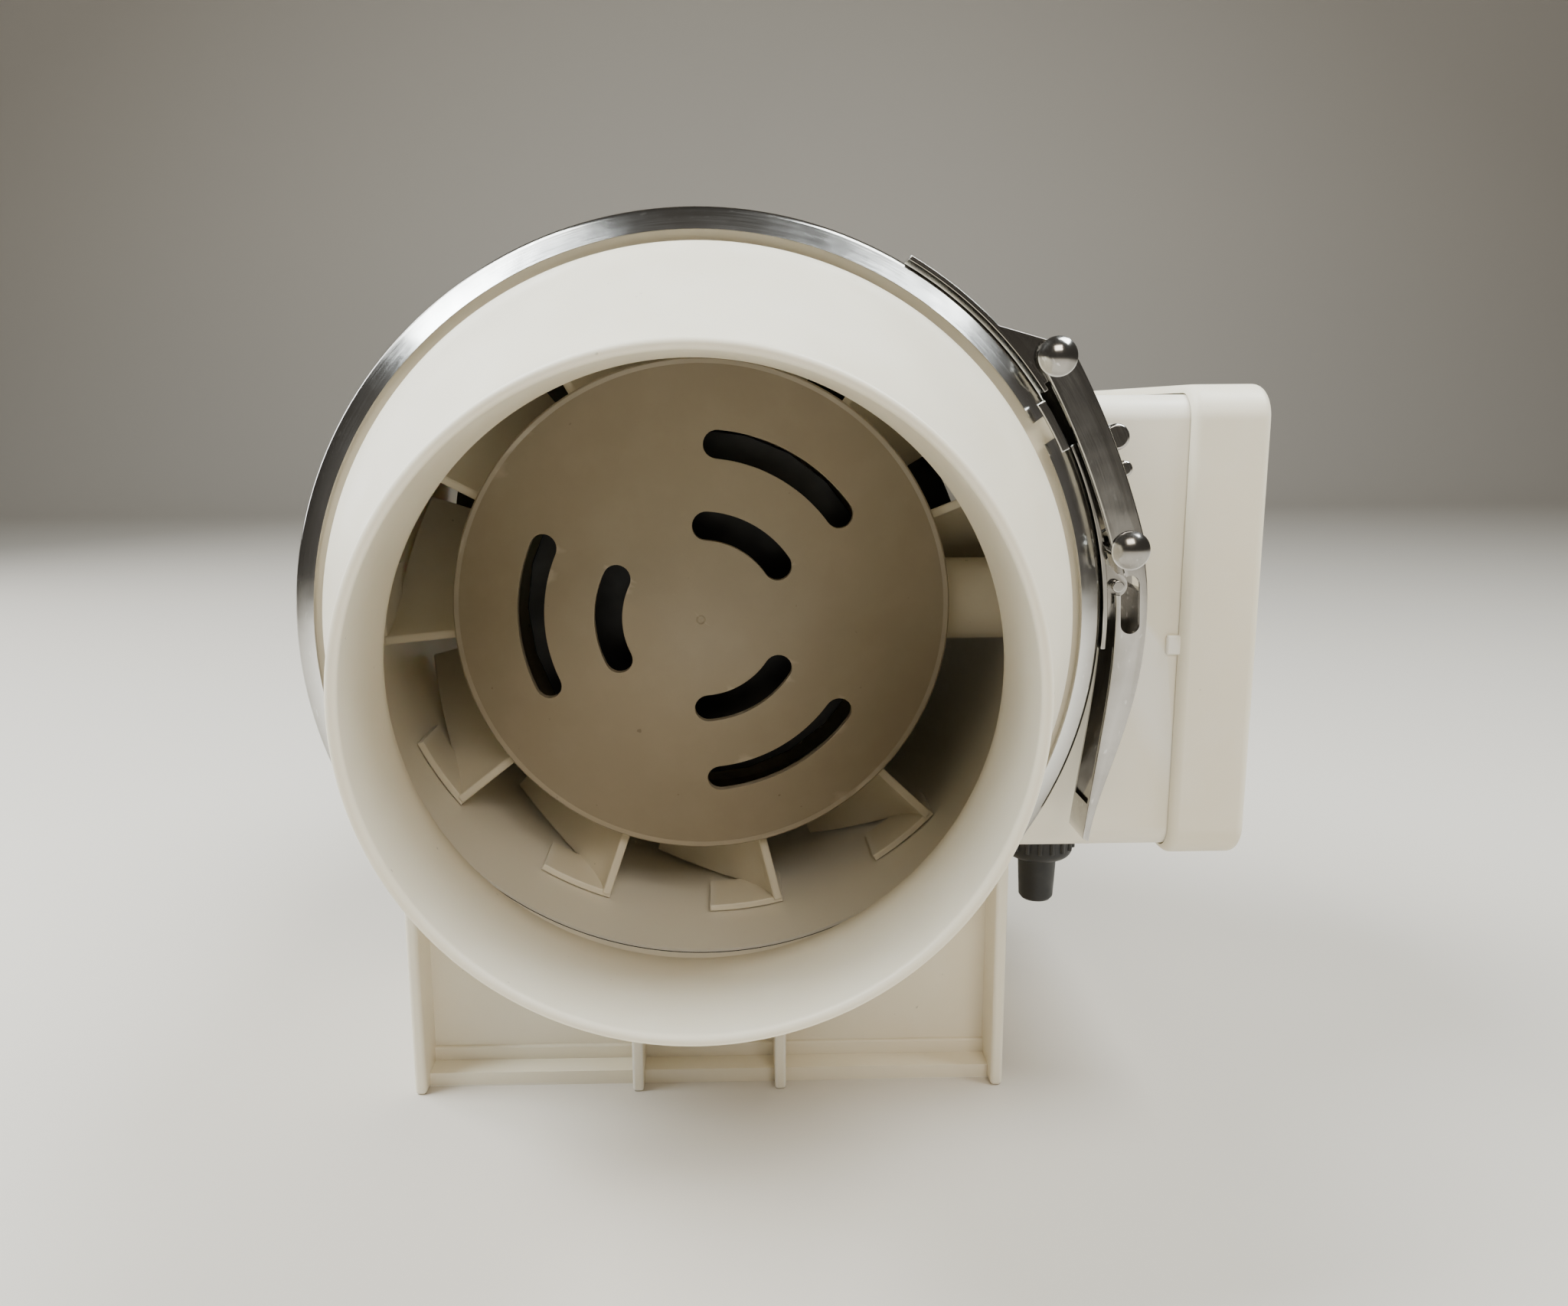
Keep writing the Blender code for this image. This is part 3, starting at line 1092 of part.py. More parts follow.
def build_box_contents():
    """The terminal block, the motor's run capacitor and the two motor leads."""
    floor = SADDLE_R + BOX_WALL + FIT
    block_low = (floor, TERMINAL_FRONT_Y, AXIS_HEIGHT + CONTENTS_CLEAR)
    block_high = [low + size for low, size in zip(block_low, TERMINAL_SIZE)]
    block = box("terminal_block", block_low, block_high, "black_plastic", bevel=0.8 * MM)
    ways = [block_low[2] + TERMINAL_PITCH * (number + 0.5) for number in range(TERMINAL_WAYS)]
    well_y = TERMINAL_FRONT_Y + TERMINAL_SIZE[1] / 2
    entry_x = floor + TERMINAL_ENTRY_X
    for number, z in enumerate(ways):
        well_x = (floor + TERMINAL_SIZE[0] / 2, block_high[0] + MM)
        well = cylinder(f"terminal_well_{number}", TERMINAL_WELL_R, (well_x[0], well_y, z), (well_x[1], well_y, z))
        entry_y = TERMINAL_FRONT_Y - MM
        entry = cylinder(f"terminal_entry_{number}", WIRE_R + 2 * FIT, (entry_x, entry_y, z), (entry_x, well_y, z))
        cut(block, well, entry)
    can_low = (floor, -CAPACITOR_SIZE[1] / 2, AXIS_HEIGHT - CONTENTS_CLEAR - CAPACITOR_SIZE[2])
    can_high = [low + size for low, size in zip(can_low, CAPACITOR_SIZE)]
    box("capacitor", can_low, can_high, "capacitor_white", bevel=1.5 * MM)
    for name, z_offset, finish, number in (
        ("lead_live", WIRE_SPACING / 2, "lead_brown", 1),
        ("lead_neutral", -WIRE_SPACING / 2, "lead_blue", 0),
    ):
        z = AXIS_HEIGHT + z_offset
        end_z = ways[number]
        y = CONDUIT_Y
        start_y = HUB_BACK_Y - 2 * HUB_WALL - FIT - MOTOR_LENGTH / 3
        points = [
            (MOTOR_R + WIRE_R + FIT, start_y, z),
            (MOTOR_R + WIRE_R + FIT, (start_y + y) / 2, z),
            (MOTOR_R + WIRE_R + 2 * MM, y + MM, z),
            (HUB_R - HUB_WALL, y, z),
            (CASING_R, y, z),
            (entry_x - 2 * MM, y, z),
            (entry_x, y + 3 * MM, z + (end_z - z) / 4),
            (entry_x, y / 2 - 2 * MM, end_z),
            (entry_x, TERMINAL_FRONT_Y + 3 * MM, end_z),
        ]
        wire(name, points, WIRE_R, finish)


def upright(name, profile, finish, steps):
    """A solid of revolution about the gland's vertical axis, from (radius, depth below the box) points."""
    made = turned(name, profile, finish, steps, closed=True)
    made.location = (GLAND_X, 0, AXIS_HEIGHT + BOX_BOTTOM)
    made.rotation_euler = (0, 0, 0)
    return made


def build_gland():
    """The cable gland under the box, empty: body, sealing ring, cap nut, and locknut inside the box."""
    top = GLAND_HEX_HEIGHT
    inside = -(BOX_WALL + 6 * MM)
    neck = GLAND_THREAD_R + MM
    body = [(GLAND_THREAD_R, inside), (GLAND_THREAD_R, FIT), (GLAND_HEX_R, FIT), (GLAND_HEX_R, top)]
    body += [(neck, top), (neck, top + 8 * MM), (GLAND_BORE_R + MM, top + 8 * MM), (GLAND_BORE_R + MM, inside)]
    upright("gland_body", body, "black_plastic", 24)
    cap_low = top + FIT
    cap_high = cap_low + GLAND_CAP_HEIGHT
    tail = cap_high + GLAND_TAIL
    wall = GLAND_HEX_R * 0.97
    cap = [(wall, cap_low), (wall, cap_high - 3 * MM), (wall * 0.8, cap_high - MM), (GLAND_BORE_R + 1.4 * MM, cap_high)]
    cap += [(GLAND_BORE_R + 0.9 * MM, tail - 0.8 * MM), (GLAND_BORE_R + 0.3 * MM, tail), (GLAND_BORE_R - MM, tail)]
    cap += [(GLAND_BORE_R - MM, cap_high - MM), (neck + FIT, cap_high - 3.5 * MM), (neck + FIT, cap_low)]
    upright("gland_nut", cap, "black_plastic", 24)
    seat = AXIS_HEIGHT + BOX_BOTTOM + BOX_WALL + FIT
    lock = [(GLAND_X, 0, seat), (GLAND_X, 0, seat + LOCKNUT_HEIGHT)]
    hex_nut("gland_locknut", GLAND_HEX_R, GLAND_THREAD_R + FIT, lock, "black_plastic")


# ---------------------------------------------------------------- assembly


def main():
    global PARTS, CUTTERS
    clear_scene()
    PARTS = new_collection("inline_duct_fan")
    CUTTERS = new_collection("cutters")
    make_materials()
    build_collars()
    build_casing()
    build_guide_vanes()
    build_hub_cover()
    build_motor()
    build_impeller()
    build_clamp("outlet", OUTLET_JOINT_Y)
    build_clamp("inlet", INLET_JOINT_Y)
    build_foot()
    build_terminal_box()
    build_box_contents()
    build_gland()


main()
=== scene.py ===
"""Looks of the inline duct fan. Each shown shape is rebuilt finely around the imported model, rides on
its node's body and takes its node's place. Lengths are in metres; the fan's axis is along Y, the
outlet faces -Y, +Z is up and the terminal box is at +X.
"""

import json
import math

import bmesh
import bpy
from mathutils import Matrix, Vector

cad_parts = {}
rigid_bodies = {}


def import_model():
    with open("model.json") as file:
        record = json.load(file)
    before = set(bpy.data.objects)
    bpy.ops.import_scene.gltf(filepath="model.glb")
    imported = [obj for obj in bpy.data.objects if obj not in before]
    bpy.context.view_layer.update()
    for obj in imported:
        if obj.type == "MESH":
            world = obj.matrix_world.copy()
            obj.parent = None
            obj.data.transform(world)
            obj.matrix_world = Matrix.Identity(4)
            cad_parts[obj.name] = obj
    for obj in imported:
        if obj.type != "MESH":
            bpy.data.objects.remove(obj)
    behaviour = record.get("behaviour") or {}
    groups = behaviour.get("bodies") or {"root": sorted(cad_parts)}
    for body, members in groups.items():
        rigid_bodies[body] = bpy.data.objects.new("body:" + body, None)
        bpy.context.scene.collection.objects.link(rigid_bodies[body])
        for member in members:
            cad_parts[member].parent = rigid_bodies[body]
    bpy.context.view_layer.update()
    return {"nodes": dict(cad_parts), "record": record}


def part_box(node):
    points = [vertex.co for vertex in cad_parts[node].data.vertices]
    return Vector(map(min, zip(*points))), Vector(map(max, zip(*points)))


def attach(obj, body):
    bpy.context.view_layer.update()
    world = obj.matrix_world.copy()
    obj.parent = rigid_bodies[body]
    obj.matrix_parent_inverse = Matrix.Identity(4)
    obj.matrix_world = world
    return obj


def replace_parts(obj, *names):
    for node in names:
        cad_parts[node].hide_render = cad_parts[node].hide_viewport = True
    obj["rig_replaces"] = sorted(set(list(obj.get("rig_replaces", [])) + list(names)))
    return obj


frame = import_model()

MM = 0.001
FIT = 0.3 * MM  # gap between two pieces that seat on each other


def middle(node):
    low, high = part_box(node)
    return (low + high) / 2


def size(node):
    low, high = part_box(node)
    return high - low


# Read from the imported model
AXIS_HEIGHT = middle("shaft").z
OUTLET_RIM_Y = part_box("outlet_collar")[0].y
COLLAR_LENGTH = size("outlet_collar").y
FLANGE_R = size("outlet_collar").x / 2
CASING_END_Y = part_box("casing")[1].y
BAND_R = size("outlet_band").z / 2
BAND_WIDTH = size("outlet_band").y
HUB_R = size("hub_cover").x / 2
HUB_FRONT_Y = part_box("guide_vanes")[0].y
HUB_BACK_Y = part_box("guide_vanes")[1].y
COVER_TIP_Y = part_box("hub_cover")[0].y
COVER_BACK_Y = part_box("hub_cover")[1].y
IMPELLER_FRONT_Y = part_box("impeller")[0].y
IMPELLER_BACK_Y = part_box("impeller")[1].y
LATCH_WIDTH = size("outlet_clamp_link").y
LEVER_WIDTH = size("outlet_clamp_lever").y
FOOT_HALF_WIDTH = size("foot").x / 2
FOOT_HALF_LENGTH = size("foot").y / 2
BOX_LOW, BOX_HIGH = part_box("terminal_box_base")
COVER_LOW, COVER_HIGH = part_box("terminal_box_cover")
GLAND_X = middle("gland_body").x
GLAND_TIP_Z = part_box("gland_nut")[0].z
PIVOT_A = middle("outlet_rivet_a")
PIVOT_B = middle("outlet_rivet_b")

# Collars and casing
SPIGOT_R = 48.75 * MM
SPIGOT_STRAIGHT = 20.0 * MM
COLLAR_WALL = 1.8 * MM
COLLAR_WALL_GROWTH = 0.4 * MM
LIP_BEAD = 0.5 * MM
FLANGE_HEIGHT = 4.8 * MM
FLANGE_THICKNESS = 3.0 * MM
GASKET_THICKNESS = 0.9 * MM
CASING_R = FLANGE_R - FLANGE_HEIGHT
CASING_WALL = 2.5 * MM
CASING_BORE_R = CASING_R - CASING_WALL
JOINT_Y = -middle("outlet_band").y
WIRE_BORE_R = 4.5 * MM

# Hub, guide vanes and conduit
HUB_WALL = 2.0 * MM
VANE_POSITIONS = 11
VANE_START_ANGLE = 21.8
VANE_THICKNESS = 1.8 * MM
VANE_DEPTH = 34.0 * MM
VANE_SETBACK = 3.0 * MM
VANE_SWEEP = 24.0
VANE_CURVE = 1.6
TIP_FLANGE_SPAN = 13.0
TIP_FLANGE_DEPTH = 14.0 * MM
TIP_FLANGE_THICKNESS = 1.4 * MM
CONDUIT_R = 8.6 * MM
CONDUIT_Y = HUB_FRONT_Y + 13.0 * MM
BEARING_R = 9.5 * MM

# Slots in the hub cover: radius and half angle between the round ends
SLOT_GROUPS = 3
SLOT_WIDTH = 5.5 * MM
SLOT_RINGS = ((33.5 * MM, 24.0), (18.0 * MM, 26.0))

# Impeller
BLADE_COUNT = 7
BLADE_THICKNESS = 1.8 * MM
BLADE_SWEEP = 52.0
BLADE_LEAN = 14.0
BLADE_RUNNING_GAP = 1.8 * MM
BLADE_SPAN = (0.06, 0.92)
IMPELLER_WALL = 2.0 * MM
IMPELLER_NOSE_R = 17.0 * MM
NOSE_TURN = 75.0
SHAFT_R = 4.0 * MM

# Clamps and latches
BAND_THICKNESS = 0.9 * MM
BAND_FLAT_WIDTH = 9.2 * MM
BAND_FLANK = 4.6 * MM
BAND_GAP_ANGLE = 29.6
BAND_GAP = 4.6 * MM
SHEET = 0.9 * MM
STRAP_R = BAND_R + FIT + SHEET
STRAP_START_ANGLE = 60.0
WELD_ANGLES = (47.0, 51.5, 56.0)
RIVET_R = 1.6 * MM
RIVET_HEAD_R = 3.6 * MM
RIVET_HEAD_HEIGHT = 1.5 * MM
LINK_HALF_WIDTH = 3.1 * MM
LINK_BOW = 1.2 * MM
CATCH_THICKNESS = 0.5 * MM
CATCH_SPAN = (0.12, 0.62)  # shares of the link's length, from pivot B
CATCH_STUDS = ((0.52, 1.5 * MM, 2.5 * MM), (0.36, 0.9 * MM, 1.6 * MM))  # share, lift and radius
HOOK_PIN_R = 1.1 * MM
HOOK_PIN_ANGLE = 5.0
HOOK_PIN = (BAND_R + 2.8 * MM, HOOK_PIN_ANGLE)
LEVER_TIP = (BAND_R + 9.9 * MM, -30.0)
LEVER_TIP_HALF = 0.7 * MM
LEVER_SAG = 2.2 * MM
LEVER_SLOT_LENGTH = 11.0 * MM
LEVER_SLOT_WIDTH = 3.6 * MM

# Foot
FOOT_WALL = 2.6 * MM
FOOT_BASE = 3.2 * MM
FOOT_PLATE_SETBACK = 3.6 * MM
FOOT_PANEL_SETBACK = 10.0 * MM
FOOT_RIB_OFFSET = 15.8 * MM
FOOT_RIB_WIDTH = 2.5 * MM
FOOT_HOLE_R = 2.6 * MM
FOOT_HOLE_SPACING = 84.0 * MM
SADDLE_R = CASING_R + FIT

# Terminal box, screws and gland
BOX_WALL = 2.4 * MM
BOX_CORNER_R = 5.0 * MM
COVER_OVERLAP = BOX_HIGH.x - COVER_LOW.x
COVER_RIM_ROUND = 2.0 * MM
POST_R = 4.2 * MM
POST_INSET = 9.0 * MM
SCREW_R = 1.7 * MM
SCREW_PITCH = 0.9 * MM
SCREW_HEAD_R = 3.2 * MM
SCREW_HEAD_HEIGHT = 2.0 * MM
GLAND_THREAD_R = 6.0 * MM
GLAND_HEX_R = 9.2 * MM
GLAND_HEX_HEIGHT = 5.0 * MM
GLAND_CAP_HEIGHT = 13.0 * MM
GLAND_BORE_R = 3.2 * MM

# Fineness of round shapes
STEPS_LARGE = 192
STEPS_MEDIUM = 96
STEPS_SMALL = 40

BODY_OF = {node: body for body, nodes in frame["record"]["behaviour"]["bodies"].items() for node in nodes}
SCENE = bpy.context.scene
WORK = bpy.data.collections.new("work")
SCENE.collection.children.link(WORK)
MATERIALS = {}


# ---- shape helpers


def mesh_from(shape, name="blank"):
    """The mesh of a bmesh, which is freed."""
    mesh = bpy.data.meshes.new(name)
    shape.to_mesh(mesh)
    shape.free()
    return mesh


def weld(mesh, gap, flat=0.0, turn_out=False):
    """Joins points closer than a gap, merges faces within an angle and can turn faces outwards."""
    shape = bmesh.new()
    shape.from_mesh(mesh)
    bmesh.ops.remove_doubles(shape, verts=shape.verts, dist=gap)
    if flat:
        bmesh.ops.dissolve_limit(shape, angle_limit=math.radians(flat), verts=shape.verts, edges=shape.edges)
    if turn_out:
        bmesh.ops.recalc_face_normals(shape, faces=shape.faces)
    shape.to_mesh(mesh)
    shape.free()


def add(mesh):
    """A blank: an object that another one cuts, joins or is made from."""
    obj = bpy.data.objects.new("blank", mesh)
    WORK.objects.link(obj)
    return obj


def turned(profile, steps=STEPS_LARGE, closed=True, centre=(0, 0, AXIS_HEIGHT)):
    """A solid of revolution about the fan's axis from (radius, y) points.

    The profile runs along the outer side towards +Y and back along the inner side.
    """
    mesh = bpy.data.meshes.new("turned")
    points = [(radius, 0.0, -y) for radius, y in profile]
    edges = [(i, i + 1) for i in range(len(points) - 1)]
    if closed:
        edges.append((len(points) - 1, 0))
    mesh.from_pydata(points, edges, [])
    obj = add(mesh)
    obj.location = centre
    obj.rotation_euler = (math.radians(90), 0, 0)
    screw = obj.modifiers.new("turn", "SCREW")
    screw.steps = steps
    screw.render_steps = steps
    screw.use_merge_vertices = True
    screw.merge_threshold = 0.00001
    screw.use_smooth_shade = True
    return obj


def rounded(obj, width, segments=3, angle=30.0):
    """Rounds the edges sharper than an angle."""
    rounding = obj.modifiers.new("rounding", "BEVEL")
    rounding.width = width
    rounding.segments = segments
    rounding.limit_method = "ANGLE"
    rounding.angle_limit = math.radians(angle)
    return obj


def box(low, high, bevel=0.0, segments=3):
    """A block between two corners, with its origin at its centre."""
    shape = bmesh.new()
    bmesh.ops.create_cube(shape, size=1.0)
    bmesh.ops.scale(shape, vec=[high[i] - low[i] for i in range(3)], verts=shape.verts)
    obj = add(mesh_from(shape))
    obj.location = [(high[i] + low[i]) / 2 for i in range(3)]
    return rounded(obj, bevel, segments) if bevel else obj


def cylinder(radius, start, end, steps=STEPS_SMALL):
    """A cylinder between two points in space."""
    start, end = Vector(start), Vector(end)
    shape = bmesh.new()
    bmesh.ops.create_cone(
        shape, cap_ends=True, segments=steps, radius1=radius, radius2=radius, depth=(end - start).length
    )
    obj = add(mesh_from(shape))
    obj.location = (start + end) / 2
    obj.rotation_euler = (end - start).to_track_quat("Z", "Y").to_euler()
    return obj


def bar(radius, x_start, x_end, y, z, steps=STEPS_SMALL):
    """A cylinder along X."""
    return cylinder(radius, (x_start, y, z), (x_end, y, z), steps)


def conduit_bar(radius, x_start, x_end, steps=STEPS_SMALL):
    """A cylinder along the middle of the conduit."""
    return bar(radius, x_start, x_end, CONDUIT_Y, AXIS_HEIGHT, steps)


def axis_cylinder(radius, reach=BOX_HIGH.y - BOX_LOW.y):
    """A cylinder on the fan's axis, reaching as far each way."""
    return cylinder(radius, (0, -reach, AXIS_HEIGHT), (0, reach, AXIS_HEIGHT), STEPS_LARGE)


def plate(outline, y_low, y_high, edge=0.0):
    """A flat outline of (x, z) points, z from the axis, from y_low to y_high, with rounded edges."""
    data = bpy.data.curves.new("outline", "CURVE")
    data.dimensions = "2D"
    data.fill_mode = "BOTH"
    data.extrude = (y_high - y_low) / 2 - edge
    data.bevel_depth = edge
    data.bevel_resolution = 2
    data.offset = -edge
    spline = data.splines.new("POLY")
    spline.points.add(len(outline) - 1)
    for point, (x, z) in zip(spline.points, outline):
        point.co = (x, z, 0, 1)
    spline.use_cyclic_u = True
    curve = bpy.data.objects.new("outline", data)
    WORK.objects.link(curve)
    curve.rotation_euler = (math.radians(90), 0, 0)
    curve.location = (0, (y_low + y_high) / 2, AXIS_HEIGHT)
    bpy.context.view_layer.update()
    graph = bpy.context.evaluated_depsgraph_get()
    mesh = bpy.data.meshes.new_from_object(curve.evaluated_get(graph))
    mesh.materials.clear()
    placed = curve.matrix_world.copy()
    bpy.data.objects.remove(curve)
    weld(mesh, 0.001 * MM, 0.1, True)
    obj = add(mesh)
    obj.matrix_world = placed
    return obj


def slab(outline, y, half, edge=0.0):
    """A plate that reaches half its thickness to each side of y."""
    return plate(outline, y - half, y + half, edge)


def combine(obj, others, operation):
    for other in others:
        change = obj.modifiers.new(operation.lower(), "BOOLEAN")
        change.operation = operation
        change.solver = "EXACT"
        change.object = other
    return obj


def cut(obj, *others):
    return combine(obj, others, "DIFFERENCE")


def join(obj, *others):
    return combine(obj, others, "UNION")


def as_mesh(obj):
    """The object's shape with its modifiers, as a new mesh in world space."""
    bpy.context.view_layer.update()
    mesh = bpy.data.meshes.new_from_object(obj.evaluated_get(bpy.context.evaluated_depsgraph_get()))
    mesh.transform(obj.matrix_world)
    return mesh


def joined(blanks):
    """One blank that holds several separate closed shapes."""
    shape = bmesh.new()
    for blank in blanks:
        shape.from_mesh(as_mesh(blank))
    return add(mesh_from(shape))


def sheet(rows, thickness, edge, segments):
    """A thick curved sheet through rows of points, with rounded edges."""
    shape = bmesh.new()
    grid = [[shape.verts.new(point) for point in row] for row in rows]
    for near, far in zip(grid, grid[1:]):
        for i in range(len(near) - 1):
            shape.faces.new((near[i], near[i + 1], far[i + 1], far[i]))
    obj = add(mesh_from(shape))
    thick = obj.modifiers.new("thickness", "SOLIDIFY")
    thick.thickness = thickness
    thick.offset = 0
    return rounded(obj, edge, segments, 40)


def show(obj, node, finish, bevel=0.0, segments=3, sharp=38.0):
    """Makes the shown piece from a blank: it stands for the node, rides on its body and has the finish."""
    mesh = as_mesh(obj)
    weld(mesh, 0.002 * MM)
    mesh.materials.clear()
    mesh.materials.append(MATERIALS[finish])
    mesh.polygons.foreach_set("material_index", [0] * len(mesh.polygons))
    piece = bpy.data.objects.new(node + "_look", mesh)
    SCENE.collection.objects.link(piece)
    if bevel:
        rounded(piece, bevel, segments)
        rounded_mesh = as_mesh(piece)
        piece.modifiers.clear()
        piece.data = rounded_mesh
    piece.data.shade_smooth()
    piece.data.set_sharp_from_angle(angle=math.radians(sharp))
    evened = piece.modifiers.new("evened_normals", "WEIGHTED_NORMAL")
    evened.keep_sharp = True
    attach(piece, BODY_OF[node])
    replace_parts(piece, node)
    return piece


def polar(radius, degrees):
    """(x, z) across the axis; z is counted from the axis."""
    angle = math.radians(degrees)
    return (radius * math.cos(angle), radius * math.sin(angle))


def bearing(point):
    """The angle of an (x, z) point round the axis, in degrees."""
    return math.degrees(math.atan2(point[1], point[0]))


def arc(centre, radius, start, end, count):
    """Points on an arc, of an outline across the axis or of a turned profile; angles in degrees."""
    turns = [start + (end - start) * i / (count - 1) for i in range(count)]
    return [(centre[0] + polar(radius, a)[0], centre[1] + polar(radius, a)[1]) for a in turns]


def sector(inner, outer, start, end, count):
    """The outline of a piece of a ring around the fan's axis."""
    return arc((0, 0), outer, start, end, count) + arc((0, 0), inner, end, start, count)


def stadium(centre, length, width, degrees, count=14):
    """The outline of a slot with round ends, at an angle."""
    half = (length - width) / 2
    along = polar(1.0, degrees)
    tip = (centre[0] + along[0] * half, centre[1] + along[1] * half)
    tail = (centre[0] - along[0] * half, centre[1] - along[1] * half)
    outline = arc(tip, width / 2, degrees - 90, degrees + 90, count)
    return outline + arc(tail, width / 2, degrees + 90, degrees + 270, count)


def ease(share):
    """A smooth step from 0 to 1."""
    return share * share * (3 - 2 * share)


# ---- collars, gaskets and casing


def collar_outer_r(share):
    """The outer radius along the flare, from the spigot (0) to the clamp flange (1)."""
    return SPIGOT_R + (CASING_R - SPIGOT_R) * ease(share)


def collar_profile():
    """(radius, distance behind the rim) of a collar."""
    start = SPIGOT_STRAIGHT
    end = COLLAR_LENGTH - FLANGE_THICKNESS
    shares = [i / 28 for i in range(29)]
    lip = COLLAR_WALL / 2
    outer = arc((SPIGOT_R - lip, lip), lip, -150, 0, 9)
    bead = ((0, 2.4), (0.3, 2.9), (1, 3.3))
    outer += [(SPIGOT_R - LIP_BEAD * inwards, lip * back) for inwards, back in bead]
    outer += [(collar_outer_r(s), start + (end - start) * s) for s in shares]
    flange = [(FLANGE_R, end), (FLANGE_R, COLLAR_LENGTH), (CASING_BORE_R, COLLAR_LENGTH)]
    inner = [
        (collar_outer_r(s) - COLLAR_WALL - COLLAR_WALL_GROWTH * s, start + (end - start) * s)
        for s in reversed(shares[:-1])
    ]
    return outer + flange + inner + [(SPIGOT_R - COLLAR_WALL, lip)]


def make_collars():
    profile = collar_profile()
    show(turned([(r, OUTLET_RIM_Y + y) for r, y in profile]), "outlet_collar", "ivory_plastic")
    mirrored = [(r, -OUTLET_RIM_Y - y) for r, y in reversed(profile)]
    show(turned(mirrored), "inlet_collar", "ivory_plastic")
    half = GASKET_THICKNESS / 2
    for end, y in (("outlet", -JOINT_Y), ("inlet", JOINT_Y)):
        ring = [(FLANGE_R - FIT, y - half), (FLANGE_R - FIT, y + half)]
        ring += [(CASING_BORE_R + FIT, y + half), (CASING_BORE_R + FIT, y - half)]
        show(turned(ring), f"{end}_gasket", "seal_rubber", bevel=0.2 * MM)


def make_casing():
    end = CASING_END_Y
    step = end - FLANGE_THICKNESS
    profile = [(FLANGE_R, -end), (FLANGE_R, -step), (CASING_R, -step)]
    profile += [(CASING_R, step), (FLANGE_R, step), (FLANGE_R, end)]
    profile += [(CASING_BORE_R, end), (CASING_BORE_R, -end)]
    casing = turned(profile)
    bore = axis_cylinder(CASING_R - CASING_WALL / 2, end)
    screw = middle("foot_screw_1")
    lug_outer = FOOT_HALF_WIDTH - FOOT_WALL - FIT
    reach = abs(screw.y) + POST_R
    drop = AXIS_HEIGHT - screw.z
    inner = math.sqrt((CASING_R - CASING_WALL / 2) ** 2 - (drop - SCREW_HEAD_R) ** 2) - 2 * MM
    for side in (-1, 1):
        xs = sorted((side * inner, side * lug_outer))
        lug = box((xs[0], -reach, screw.z - POST_R), (xs[1], reach, screw.z + POST_R), 0.5 * MM)
        join(casing, cut(lug, bore))
    for number in range(1, 5):
        place = middle(f"foot_screw_{number}")
        way = 1 if place.x > 0 else -1
        start = place.x - way * 2 * SCREW_HEAD_R
        cut(casing, bar(SCREW_R + FIT, start, way * (FOOT_HALF_WIDTH + MM), place.y, place.z))
    cut(casing, conduit_bar(WIRE_BORE_R, CASING_BORE_R - 4 * MM, CASING_R + 4 * MM))
    show(casing, "casing", "ivory_plastic")


# ---- hub, guide vanes and impeller


def vane(start_angle):
    """One guide vane, curved along the flow, with rounded edges."""
    rows, columns = 17, 5
    inner, outer = HUB_R - HUB_WALL / 2, CASING_BORE_R - FIT - TIP_FLANGE_THICKNESS / 2
    grid = []
    for row in range(rows):
        share = row / (rows - 1)
        angle = start_angle - VANE_SWEEP * share**VANE_CURVE
        y = HUB_FRONT_Y + VANE_SETBACK + VANE_DEPTH * share
        radii = [inner + (outer - inner) * column / (columns - 1) for column in range(columns)]
        line = [polar(r, angle) for r in radii]
        grid.append([(x, y, AXIS_HEIGHT + z) for x, z in line])
    return sheet(grid, VANE_THICKNESS, 0.5 * MM, 3)


def make_guide_vanes():
    front, back = HUB_FRONT_Y, HUB_BACK_Y
    seat = BEARING_R + FIT
    profile = [(HUB_R - 0.3 * MM, front), (HUB_R, front + 0.3 * MM), (HUB_R, back - MM), (HUB_R - MM, back)]
    profile += [(seat, back), (seat, back - 2 * HUB_WALL), (HUB_R - HUB_WALL, back - 2 * HUB_WALL)]
    profile += [(HUB_R - HUB_WALL, front)]
    vanes = turned(profile)
    tip_r = CASING_BORE_R - FIT
    sheets, flanges = [], []
    for number in range(VANE_POSITIONS - 1):
        angle = VANE_START_ANGLE + number * 360.0 / VANE_POSITIONS
        sheets.append(vane(angle))
        outline = sector(tip_r - TIP_FLANGE_THICKNESS, tip_r, angle + 0.8, angle - TIP_FLANGE_SPAN, 12)
        near = front + VANE_SETBACK + 0.5 * MM
        flanges.append(plate(outline, near, near + TIP_FLANGE_DEPTH, 0.3 * MM))
    conduit = conduit_bar(CONDUIT_R, HUB_R - HUB_WALL / 2, CASING_BORE_R - 3 * FIT, STEPS_MEDIUM)
    join(vanes, joined(sheets), joined(flanges), conduit)
    cut(vanes, conduit_bar(WIRE_BORE_R, HUB_R - 6 * MM, CASING_R + 5 * MM))
    for number in (1, 2):
        place = middle(f"motor_screw_{number}")
        cut(vanes, cylinder(SCREW_R + FIT, (place.x, back - 3 * HUB_WALL, place.z),
                            (place.x, back + MM, place.z)))
    show(vanes, "guide_vanes", "ivory_plastic")


